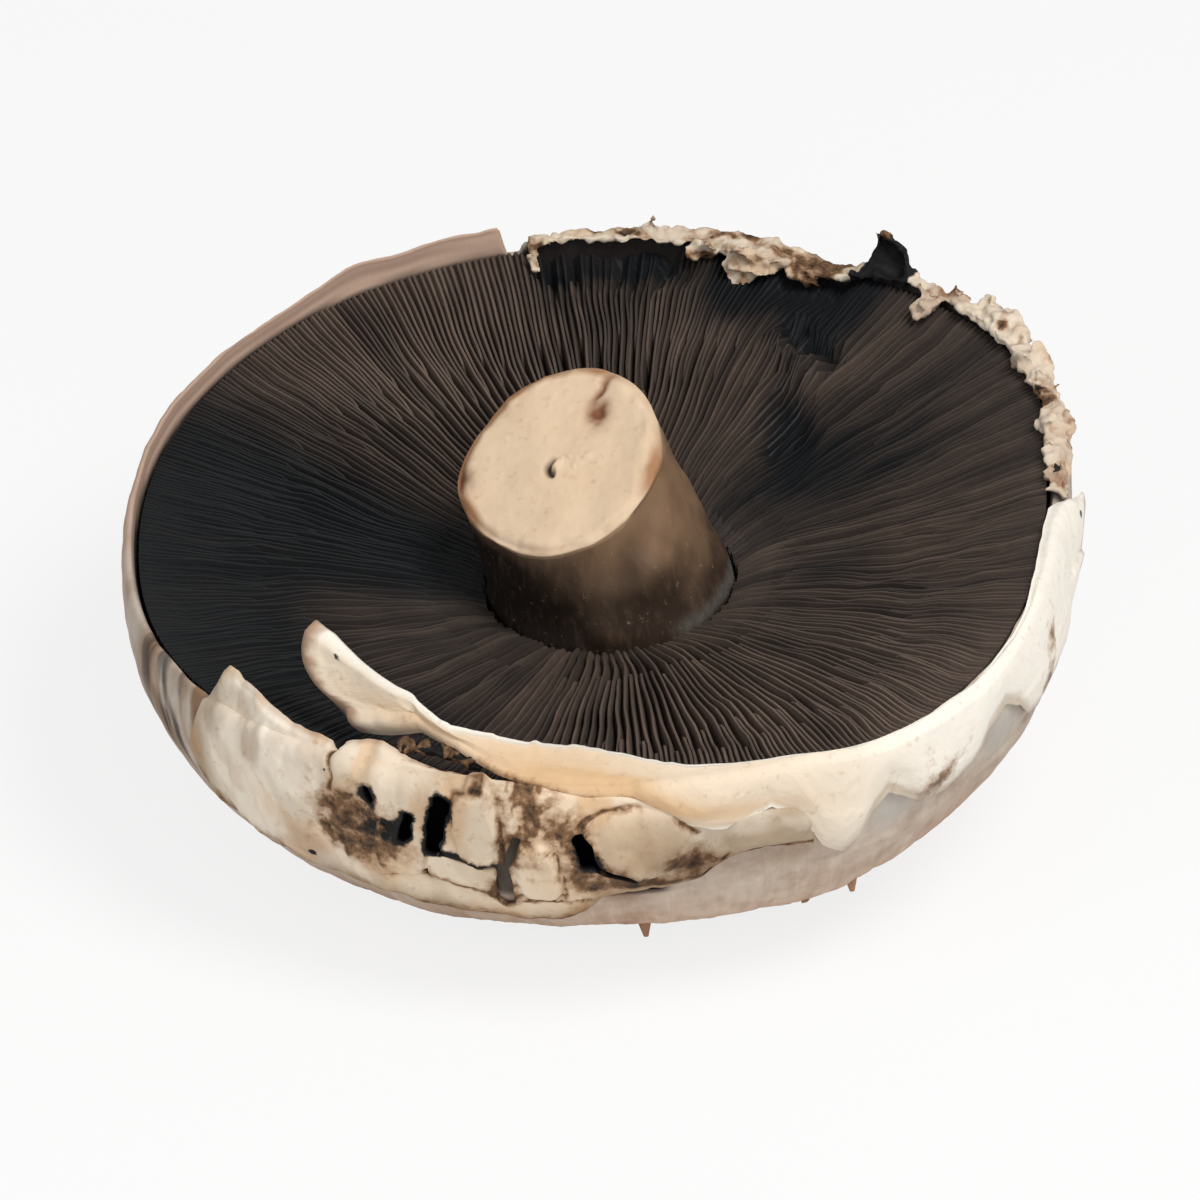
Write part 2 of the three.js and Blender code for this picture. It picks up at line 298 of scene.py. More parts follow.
# %% [markdown]
# ## Materials: one helper, one colour function
# Colours are written as the hex values that a painter would pick on screen, and `hex_colour` turns them to
# the linear values that the renderer works in. `add` puts one node of any kind in a tree: it sets the
# node's settings, fills each input with a value, a hex colour or a link, and gives back one output.


# %% Colour and node helpers
def hex_colour(text):
    """An sRGB hex colour as linear RGBA."""
    channels = [int(text[i : i + 2], 16) / 255 for i in (1, 3, 5)]
    return [c / 12.92 if c <= 0.04045 else ((c + 0.055) / 1.055) ** 2.4 for c in channels] + [1.0]


def add(tree, kind, inputs=None, output=0, **settings):
    """A node of a kind in a tree. Inputs and output are named by socket name or number."""
    node = tree.nodes.new(kind)
    for setting, value in settings.items():
        setattr(node, setting, value)
    for socket, value in (inputs or {}).items():
        if isinstance(value, bpy.types.NodeSocket):
            tree.links.new(value, node.inputs[socket])
        else:
            is_colour = isinstance(value, str) and value.startswith("#")
            node.inputs[socket].default_value = hex_colour(value) if is_colour else value
    return node.outputs[output]


def new_material(name, roughness, ior, paints=(), **shader_inputs):
    """A Principled material: itself, its tree, the shader node and the paints that it reads by name."""
    made = bpy.data.materials.new(name)
    made.use_nodes = True
    tree = made.node_tree
    shader = tree.nodes["Principled BSDF"]
    for socket, value in {"Roughness": roughness, "IOR": ior, **shader_inputs}.items():
        shader.inputs[socket.replace("_", " ")].default_value = value
    own = {paint: add(tree, "ShaderNodeAttribute", output="Fac", attribute_name=paint) for paint in paints}
    return made, tree, shader, own


def dress(tree, shader, colour, relief, strength, depth):
    """Gives a shader its colour, and a fine relief up to a depth in metres."""
    bump = add(tree, "ShaderNodeBump", {"Height": relief, "Strength": strength, "Distance": depth})
    tree.links.new(colour, shader.inputs["Base Color"])
    tree.links.new(bump, shader.inputs["Normal"])


print("a mid grey, linear:", [round(c, 3) for c in hex_colour("#808080")[:3]])

# %% World: dim for the light it gives, white where the camera sees it
WORLD_LIGHT = 0.3
world = bpy.data.worlds.new("studio")
bpy.context.scene.world = world
world.use_nodes = True
tree = world.node_tree
dim = tree.nodes["Background"]
dim.inputs["Strength"].default_value = WORLD_LIGHT
dim.inputs["Color"].default_value = hex_colour("#ffffff")
camera_ray = add(tree, "ShaderNodeLightPath", output="Is Camera Ray")
backdrop = add(tree, "ShaderNodeBackground", {"Color": "#ffffff", "Strength": 1.0})
seen = add(tree, "ShaderNodeMixShader", {0: camera_ray, 1: dim.outputs[0], 2: backdrop})
tree.links.new(seen, tree.nodes["World Output"].inputs["Surface"])
print("world light:", WORLD_LIGHT)

# %% Floor: matt white board, which the camera sees lit from within so that only the shadow darkens it
GLOW_SHARE = 0.82
floor_board, tree, shader, _ = new_material("matt white board", 0.9, 1.45)
shader.inputs["Base Color"].default_value = hex_colour("#ececec")
glow = add(tree, "ShaderNodeEmission", {"Color": "#ffffff", "Strength": 1.0})
bright = add(tree, "ShaderNodeMixShader", {0: GLOW_SHARE, 1: shader.outputs[0], 2: glow})
camera_ray = add(tree, "ShaderNodeLightPath", output="Is Camera Ray")
seen = add(tree, "ShaderNodeMixShader", {0: camera_ray, 1: shader.outputs[0], 2: bright})
tree.links.new(seen, tree.nodes["Material Output"].inputs["Surface"])
bpy.ops.mesh.primitive_plane_add(size=8, location=(0, 0, 0))
floor = bpy.context.object
floor.name = "floor"
floor.data.materials.append(floor_board)
print("floor:", floor_board.name)

# %% [markdown]
# ## The skin's relief
# Both the cap and the torn veil that clings to it follow the same broad lumps, so these are worked out in
# one place: how far the skin stands off the smooth dome at an angle and a distance from the lip, in mm. The
# skin's fibres run from crown to rim. A pattern that runs so is noise on a cylinder whose height is scaled
# down, which draws the pattern out from crown to rim and leaves no seam.

# %% Skin relief
SIDE_RADIUS = 60.5  # of the cap's side, which turns degrees into millimetres along the rim


def skin_lumps(degrees, from_lip):
    """How far the skin stands off the smooth dome, at a distance down the skin from the lip."""
    place = polar(np.radians(degrees), SIDE_RADIUS, from_lip)
    return (0.55 * noise(place, 21, 3) + 0.25 * noise(place, 8, 7)) * smooth(from_lip, -2, 6)


def spot(degrees, z, at_degrees, at_z, wide, tall):
    """1 at a place on the side, and next to 0 from twice wide and twice tall millimetres away."""
    across = (np.asarray(degrees) % 360 - at_degrees) * math.radians(SIDE_RADIUS)
    return np.exp(-1.5 * ((across / wide) ** 2 + ((z - at_z) / tall) ** 2))


def spots(degrees, z, *rows):
    """Spots added up. A row holds a strength, then the degrees, z, wide and tall of one."""
    return sum(strength * spot(degrees, z, *row) for strength, *row in rows)


def crack(degrees, z, start, end, wide):
    """Millimetres from a crack's edge, negative inside. Start and end are (degrees, z)."""
    to_mm = np.array([math.radians(SIDE_RADIUS), 1])
    a, b = np.array(start) * to_mm, np.array(end) * to_mm
    here = np.stack(np.broadcast_arrays(np.asarray(degrees) % 360 * to_mm[0], z), axis=-1) - a
    t = np.clip(here @ (b - a) / ((b - a) @ (b - a)), 0, 1)
    return np.linalg.norm(here - t[..., None] * (b - a), axis=-1) - wide / 2


print("lump at the front, mm:", round(float(skin_lumps(270, 5)), 2))

# %% [markdown]
# ## The cap
# Flesh and skin in one body: a thick bowl when it lies on its crown. It could be sculpted, but its section
# is one curve turned round the stem, so rows of points follow that curve from the crown out to the lip and
# back over the bed that the gills grow from. Then the skin is pushed in and out: broad lumps, fine fibres
# that run from crown to rim, and the split right through the edge at the back. The columns are closer
# together along the front and at the split, where the edge has the most to show.

# %% The cap's section, from crown to lip and in over the gill bed
FINE_EDGE, FINE_ROWS = 32, 74  # mm of skin next to the lip with finer rows, and how many
FLOOR_GAP = 0.00002  # metres, to the surface that the crown is pressed flat on
outer_z = np.concatenate([
    -CROWN_DEPTH + (CROWN_DEPTH - WIDEST_DEPTH) * np.linspace(0, 1, 600) ** 2.2,
    np.linspace(-WIDEST_DEPTH, LIP_HEIGHT, 300),
])
outer_r = outside_radius(outer_z)
walked = np.concatenate([[0], np.cumsum(np.hypot(np.diff(outer_r), np.diff(outer_z)))])
skin_length = float(walked[-1])
fine_from = skin_length - FINE_EDGE
row_at = np.concatenate([np.arange(1.5, fine_from, 1.0), np.linspace(fine_from, skin_length, FINE_ROWS)])
skin_r = np.interp(row_at, walked, outer_r)
skin_z = np.interp(row_at, walked, outer_z)
wall_r = [58.45, 58.2, 58.05, 57.95, 57.9, 57.85, 57.8, 57.75, 57.7]
wall_z = [0.57, 0.35, 0.0, -0.4, -0.8, -1.2, -1.6, -2.1, -2.6]
bed_r = np.concatenate([wall_r, [57.5], np.linspace(56.5, 16, 14), [12, 7, 2]])
bed_z = np.concatenate([wall_z, gill_bed(bed_r[len(wall_z) :]) - 0.3])
cap_r = np.concatenate([skin_r, bed_r])
cap_z = np.concatenate([skin_z, bed_z])
crown_share = np.concatenate([1 - row_at / skin_length, np.zeros(len(bed_r))])
bed_share = np.concatenate([np.zeros(len(skin_r)), [0.2, 0.5, 0.8], np.ones(len(bed_r) - 3)])
print("skin from crown to lip, mm:", round(skin_length, 1), "rows:", len(cap_r))


# %% The cap's columns: closer where there is more to show
def spaced_angles(count):
    """Angles in radians round the whole cap, crowded at the front and at the split."""
    fine = np.linspace(0, 360, 3601)
    front = window(fine, 196, 204, 335, 350)
    split = window(fine, 90, 94, 106, 110)
    crowd = np.concatenate([[0], np.cumsum(1 + 1.2 * front[:-1] + 1.8 * split[:-1])])
    return np.radians(np.interp(np.arange(count) / count * crowd[-1], crowd, fine))


cap_angles = spaced_angles(560)
print("closest columns, mm:", round(float(np.diff(cap_angles).min() * SIDE_RADIUS), 2))

# %% The cap's surface
angle, r = np.meshgrid(cap_angles, cap_r)
degrees = np.degrees(angle)
z, crown, bed, bed_side = (
    np.repeat(values[:, None], len(cap_angles), axis=1)
    for values in (cap_z, crown_share, bed_share, np.arange(len(cap_r)) >= len(skin_r))
)
from_lip = crown * skin_length
skin = 1 - bed
fibre = np.stack([SIDE_RADIUS * np.cos(angle), SIDE_RADIUS * np.sin(angle), from_lip], axis=-1)
squeezed = fibre * [1, 1, 0.16]
out = skin_lumps(degrees, from_lip)
out += 0.16 * noise(squeezed, 1.7, 11, 3) * (0.25 + 0.75 * smooth(from_lip, 10, 26))
out += 0.1 * noise(fibre, 3, 13, 3)
patch = noise(squeezed * [1, 1, 1.6], 6.5, 23, 3)
out += 0.28 * smooth(patch, 0.05, 0.35) * smooth(from_lip, 10, 34)
out *= skin
normal_r = np.gradient(z, axis=0)
normal_z = -np.gradient(r, axis=0)
size = np.maximum(np.hypot(normal_r, normal_z), 1e-9)
radius = follow_rim(angle, r) + out * normal_r / size
height = z + out * normal_z / size
print("relief, mm:", round(float(out.min()), 2), "to", round(float(out.max()), 2))

# %% The lip: uneven all round, raised and doubled at the back left, split at the back
back_left = 1 - smooth(degrees, 160, 200)
near_lip = np.exp(-((z - LIP_HEIGHT) / 2.2) ** 2) * (r > 56)
ring = polar(angle, SIDE_RADIUS, 0)
height += near_lip * (0.28 * noise(ring, 5, 31, 3) - 0.1)
stands = smooth(degrees, 100, 101.4) * (2.8 - 1.0 * smooth(degrees, 121, 130)) * back_left
height -= near_lip * edge_dip(degrees)
height += near_lip * (stands * (1 + 0.12 * noise(ring, 11, 33)) - rear_dip(degrees))
groove = smooth(degrees, 104, 112) * back_left * np.exp(-(((z + 0.6) / 0.45) ** 2)) * bed
radius += 0.45 * groove
pale_wall = smooth(degrees, 100.4, 101.4) * back_left
bed = bed * (1 - pale_wall * smooth(height, -0.4, 0.4))
# Painted shade: the lip's inner wall from the front right round to the back, and the lip's top at the right
# end, take the gill bed's dark brown.
bed = np.maximum(bed, bed_side * np.maximum(smooth(degrees, 99, 97), smooth(degrees, 318, 330)))
bed = np.maximum(bed, smooth(height, -0.9, -0.2) * smooth(np.abs((degrees + 180) % 360 - 182), 7, 4.5))
veil_side = window(degrees, 203, 210, 352, 360)
radius -= 0.35 * veil_side * (from_lip < 16) * skin
split_half = 1.2 + 0.3 * noise(ring, 3, 35)
split_sway = 0.25 * noise(ring * 0 + z[..., None], 2.5, 36)
split_off = np.abs((degrees - 100.2 - split_sway) * math.radians(SIDE_RADIUS))
split_deep = smooth(split_off, split_half + 0.5, split_half - 0.5) * smooth(r, 57, 57.6)
height += split_deep * np.minimum(-1.2 - height, 0)
print("lip stands, mm:", round(float(height[r > 56].min()), 1), "to", round(float(height.max()), 1))

# %% Where the cap is mouldy and stained, and where shade is painted on it under the torn veil and over the left rags
u = degrees
left_rags = window(u, 198, 206, 218, 223) * smooth(z, -17, -9)
# Near black: painted shade over the rags at the left and under the hole in the lump, and a dark mark low at
# the right end.
mould_and_painted_shade = 0.8 * left_rags * smooth(noise(squeezed, 1.8, 49, 3), 0.1, 0.6)
mould_and_painted_shade += 0.6 * spot(u, z, 273, -11.5, 3.0, 1.4) * smooth(noise(fibre, 2.2, 41), -0.3, 0.4)
mould_and_painted_shade += 0.8 * spot(u, z, 359, -14, 1.0, 1.5)
stain = 0.9 * spot(u, z, 271, -14, 7, 3.0) * smooth(noise(fibre, 3.0, 45), -0.4, 0.4)
stain += 0.9 * spot(u, z, 347, -16, 8, 3.5) * smooth(noise(fibre, 3.5, 43), -0.2, 0.35)
stain += 0.5 * spot(u, z, 290, -12, 7, 2.2)
stain += 0.9 * left_rags * smooth(noise(squeezed, 2.4, 47, 3), -0.5, 0.2)
# Painted shade: near black on the skin under the torn veil, so that its holes read dark.
painted_shade_under_veil = window(u, 222, 226, 275, 277) * smooth(z, -15.6, -14.6)
painted_shade_under_veil *= 1 - 0.3 * window(u, 255, 257, 263, 265)
margin = window(u, 100, 102, 170, 200) * smooth(z, -9, -2) * (r > 57.6)
paints = {
    "crown": crown,
    "bed": bed,
    "mould_and_painted_shade": np.clip(mould_and_painted_shade, 0, 1),
    "stain": np.clip(stain, 0, 1),
    "painted_shade_under_veil": painted_shade_under_veil,
    "grey": np.clip(spots(u, z, (1, 303, -10.5, 3.6, 3.4), (1, 323, -10.5, 5.5, 4.5)), 0, 1),
    "margin": margin,
    "line": 0.8 * np.exp(-(((z - 0.3) / 0.16) ** 2)) * bed_side * smooth(u, 101, 103) * (u < 190),
    "fibre": fibre,
}
cap_points = lay(polar(angle, radius, height))
cap_points[..., 2] = np.maximum(cap_points[..., 2], FLOOR_GAP)
cap_flesh = ring_mesh("cap_flesh", cap_points, paints)

# %% [markdown]
# ## The skin's finish
# A brown portobello's skin is dry and fibrous: warm pinkish brown on the crown, where darker fibres lie
# flat in patches, and paler and greyer towards the rim. The colour is mixed from noise that follows the
# fibres, which the cap carries as an attribute, so that streaks run from crown to rim as they grew.

# %% Cap skin and flesh: a dry, matt, fibrous skin
cap_paints = ("crown", "margin", "line", "grey", "stain", "mould_and_painted_shade", "painted_shade_under_veil", "bed")
cap_skin, tree, shader, own = new_material("dry fibrous mushroom skin", 0.72, 1.4, cap_paints)
place = add(tree, "ShaderNodeAttribute", output="Vector", attribute_name="fibre")
long_fibres, short_fibres = (
    add(tree, "ShaderNodeVectorMath", {0: place, 1: (1, 1, squeeze)}, operation="MULTIPLY")
    for squeeze in (0.14, 0.5)
)
streaks, patches, blotches, clouds = (
    add(tree, "ShaderNodeTexNoise", {"Vector": vector, "Scale": 1 / mm, "Detail": detail, **more})
    for vector, mm, detail, more in (
        (long_fibres, 1.4, 5, {"Roughness": 0.6}),
        (short_fibres, 9, 4, {"Distortion": 0.6}),
        (place, 5, 4, {"Roughness": 0.65}),
        (place, 26, 2, {}),
    )
)
warm = add(
    tree, "ShaderNodeMapRange", {"Value": own["crown"], "From Min": 0.12, "From Max": 0.62},
    interpolation_type="SMOOTHSTEP",
)
streak_strength = add(tree, "ShaderNodeMapRange", {"Value": own["crown"], "From Max": 0.5, "To Max": 0.5})
blotch_here, patch_edge, dark_streak, pale_streak = (
    add(tree, "ShaderNodeMapRange", {"Value": value, "From Min": low, "From Max": high, "To Max": most})
    for value, low, high, most in (
        (blotches, 0.42, 0.68, 0.75),
        (patches, 0.5, 0.6, 1.0),
        (streaks, 0.52, 0.72, streak_strength),
        (streaks, 0.45, 0.3, streak_strength),
    )
)
pale_skin, crown_skin = (
    add(tree, "ShaderNodeMix", {0: clouds, 6: dark, 7: light}, 2, data_type="RGBA")
    for dark, light in (("#b8aa9b", "#d8cabb"), ("#c08d6c", "#e0b795"))
)
patch_here = add(tree, "ShaderNodeMath", {0: patch_edge, 1: warm}, operation="MULTIPLY")
colour = pale_skin
for cover, over in (
    (blotch_here, "#a58f7f"),
    (warm, crown_skin),
    (patch_here, "#a5714f"),
    (dark_streak, "#8d6a50"),
    (pale_streak, "#eadbca"),
    (own["margin"], "#c4a693"),
    (own["line"], "#84695a"),
    (own["grey"], "#b9b4ab"),
    (own["stain"], "#8a684a"),
    # mould, and near-black painted shade
    (own["mould_and_painted_shade"], "#0c0d10"),
    # near-black painted shade under the torn veil
    (own["painted_shade_under_veil"], "#050608"),
    # the dark gill bed, which on the lip's inner wall is painted shade
    (own["bed"], "#231d1a"),
):
    colour = add(tree, "ShaderNodeMix", {0: cover, 6: colour, 7: over}, 2, data_type="RGBA")
# Where the shade under the veil is painted, the skin's specular sheen is taken away too.
sheen_left = add(tree, "ShaderNodeMapRange", {"Value": own["painted_shade_under_veil"], "To Min": 0.5, "To Max": 0.0})
tree.links.new(sheen_left, shader.inputs["Specular IOR Level"])
relief = add(tree, "ShaderNodeMath", {0: patches, 1: streaks}, operation="ADD")
dress(tree, shader, colour, relief, 0.35, 0.0004)
cap_flesh.data.materials.append(cap_skin)
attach(cap_flesh, "root")
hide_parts("cap")
print("cap done:", len(tree.nodes), "nodes")

# %% [markdown]
# ## Scales on the skin
# The older the cap, the more its brown skin splits into small scales, each held at its crown end and curling
# up at the other. They repeat by the dozen, so Geometry Nodes grows them: points are scattered over the
# cap, more of them towards the crown, and a tapered chip is put on each, turned to lie along the skin. Two
# tags are added one by one low at the front, where the skin was caught and stands out.


# %% Run a Geometry Nodes tree once and keep the mesh
def grown(name, tree, values, start=None):
    """Runs a Geometry Nodes tree with input values, and gives a plain mesh object without the modifier."""
    piece = in_scene(name, start or bpy.data.meshes.new(name + "_start"))
    modifier = piece.modifiers.new("growth", "NODES")
    modifier.node_group = tree
    for socket in tree.interface.items_tree:
        if socket.in_out == "INPUT" and socket.name in values:
            modifier[socket.identifier] = values[socket.name]
    evaluated = piece.evaluated_get(bpy.context.evaluated_depsgraph_get())
    piece.data = bpy.data.meshes.new_from_object(evaluated)
    piece.modifiers.clear()
    print(f"{name}: {len(piece.data.vertices)} points, {len(piece.data.polygons)} faces")
    return piece


def new_tree(name, sizes):
    """A Geometry Nodes tree with named inputs: the tree and its inputs' sockets."""
    tree = bpy.data.node_groups.new(name, "GeometryNodeTree")
    tree.interface.new_socket("Geometry", in_out="INPUT", socket_type="NodeSocketGeometry")
    for size, value in sizes.items():
        kind = "NodeSocketInt" if isinstance(value, int) else "NodeSocketFloat"
        tree.interface.new_socket(size, in_out="INPUT", socket_type=kind).default_value = value
    tree.interface.new_socket("Material", in_out="INPUT", socket_type="NodeSocketMaterial")
    tree.interface.new_socket("Geometry", in_out="OUTPUT", socket_type="NodeSocketGeometry")
    return tree, tree.nodes.new("NodeGroupInput").outputs


def end_tree(tree, shapes, material):
    """Makes a tree's instances real, gives them their material and sends them out."""
    real = add(tree, "GeometryNodeRealizeInstances", {0: shapes})
    coloured = add(tree, "GeometryNodeSetMaterial", {"Geometry": real, "Material": material})
    tree.links.new(coloured, tree.nodes.new("NodeGroupOutput").inputs[0])
    return tree


# %% The tree that scatters the scales
def scales_tree():
    """Chips of dried skin, scattered over the crown of a mesh. Sizes are in metres."""
    sizes = {"Length": 0.0042, "Width": 0.0026, "Thickness": 0.0003, "Lift": 0.0006}
    tree, given = new_tree("skin scales", {"Seed": 8, "Density": 75000.0, **sizes})

    # one chip, narrow and raised at its free end
    chip = add(tree, "GeometryNodeMeshCube", {"Vertices X": 4, "Vertices Y": 3, "Vertices Z": 2})
    place = add(tree, "ShaderNodeSeparateXYZ", {0: add(tree, "GeometryNodeInputPosition")}).node.outputs
    to_tip = add(tree, "ShaderNodeMath", {0: place[0], 1: 0.5}, operation="ADD")
    narrows = add(tree, "ShaderNodeMapRange", {"Value": to_tip, "To Min": 1.0, "To Max": 0.3})
    curl = add(tree, "ShaderNodeMath", {0: to_tip, 1: 2.0}, operation="POWER")
    long, wide, lifted = (
        add(tree, "ShaderNodeMath", {0: share, 1: given[size]}, operation="MULTIPLY")
        for share, size in ((place[0], "Length"), (place[1], "Width"), (curl, "Lift"))
    )
    tapered = add(tree, "ShaderNodeMath", {0: wide, 1: narrows}, operation="MULTIPLY")
    thick = add(
        tree, "ShaderNodeMath", {0: place[2], 1: given["Thickness"], 2: lifted}, operation="MULTIPLY_ADD"
    )
    chip_shape = add(tree, "ShaderNodeCombineXYZ", {"X": long, "Y": tapered, "Z": thick})
    chip = add(tree, "GeometryNodeSetPosition", {"Geometry": chip, "Position": chip_shape})

    # points on the skin: none near the edge or where the cap rests
    crown = add(tree, "GeometryNodeInputNamedAttribute", {"Name": "crown"}, data_type="FLOAT")
    on_crown, clear = (
        add(tree, "ShaderNodeMapRange", {"Value": value, "From Min": low, "From Max": high})
        for value, low, high in ((crown, 0.42, 0.72), (place[2], 0.002, 0.004))
    )
    wanted = add(tree, "ShaderNodeMath", {0: on_crown, 1: clear}, operation="MULTIPLY")
    density = add(tree, "ShaderNodeMath", {0: wanted, 1: given["Density"]}, operation="MULTIPLY")
    scatter = add(
        tree, "GeometryNodeDistributePointsOnFaces",
        {"Mesh": given["Geometry"], "Density": density, "Seed": given["Seed"]},
    ).node.outputs

    # each chip lies flat on the skin, turned and sized by chance
    flat = add(tree, "FunctionNodeAlignRotationToVector", {"Vector": scatter["Normal"]}, axis="Z")
    chance = add(
        tree, "FunctionNodeRandomValue", {0: (-0.5, -0.5, 0.6), 1: (0.5, 0.5, 1.0), "Seed": given["Seed"]},
        data_type="FLOAT_VECTOR",
    )
    turned = add(
        tree, "FunctionNodeAlignRotationToVector", {"Rotation": flat, "Vector": chance},
        axis="X", pivot_axis="Z",
    )
    size = add(
        tree, "FunctionNodeRandomValue", {2: 0.45, 3: 1.25, "Seed": given["Seed"]}, 1, data_type="FLOAT"
    )
    placed = add(
        tree, "GeometryNodeInstanceOnPoints",
        {"Points": scatter["Points"], "Instance": chip, "Rotation": turned, "Scale": size},
    )
    return end_tree(tree, placed, given["Material"])

# %% Scale skin: the same dry skin, browner where it has lifted and dried through
scale_skin, tree, shader, _ = new_material("dried brown skin scales", 0.78, 1.4)
SCALE_MOTTLE = 6  # mm
place = add(tree, "ShaderNodeTexCoord", output="Object")
mottle = add(tree, "ShaderNodeTexNoise", {"Vector": place, "Scale": 1000 / SCALE_MOTTLE, "Detail": 4})
tone = add(tree, "ShaderNodeMapRange", {"Value": mottle, "From Min": 0.35, "From Max": 0.65})
scale_colour = add(tree, "ShaderNodeMix", {0: tone, 6: "#9a7259", 7: "#c59d80"}, 2, data_type="RGBA")
tree.links.new(scale_colour, shader.inputs["Base Color"])
print("material:", scale_skin.name)

# %% Grow the scales and add the two tags
TAG_FOOT, TAG_TIP, TAG_LENGTH = 0.0011, 0.0003, 0.0028  # metres
scale_sizes = {"Seed": 8, "Density": 75000.0, "Material": scale_skin}
skin_scales = grown("skin_scales", scales_tree(), scale_sizes, cap_flesh.data)
shape = bmesh.new()
shape.from_mesh(skin_scales.data)
lean = Vector((0.1, -0.75, -0.65)).to_track_quat("Z", "Y").to_matrix()
for at_degrees, at_z in ((272.6, -25.5), (301.0, -24.0)):
    at = np.radians(at_degrees)
    foot = lay(polar(at, float(follow_rim(at, outside_radius(at_z))) - 0.6, at_z))
    made = bmesh.ops.create_cone(
        shape, segments=7, radius1=TAG_FOOT, radius2=TAG_TIP, depth=TAG_LENGTH, cap_ends=True
    )
    for vertex in made["verts"]:
        vertex.co = lean @ (vertex.co + Vector((0, 0, 0.0006))) + Vector(foot)
shape.to_mesh(skin_scales.data)
shape.free()
shade_smooth(skin_scales.data)
skin_scales.data.materials.clear()
skin_scales.data.materials.append(scale_skin)
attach(skin_scales, "root")
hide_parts("cap")
print("scales done")

# %% [markdown]
# ## The gills
# Nearly five hundred thin plates hang from the cap's flesh, here standing up. Long ones reach the stem, and
# shorter ones fill the room between them as the ring widens. That is a rule, so Geometry Nodes lays it out:
# one thin block is put at every point of a circle, made real, and bent to the section by formulas. An
# Index Switch gives each blade its length by its number, and a random value makes no two quite the same.
# The blades stay low-poly, because there are so many. Their waves are added after, in numpy, since
# neighbours must lean together.


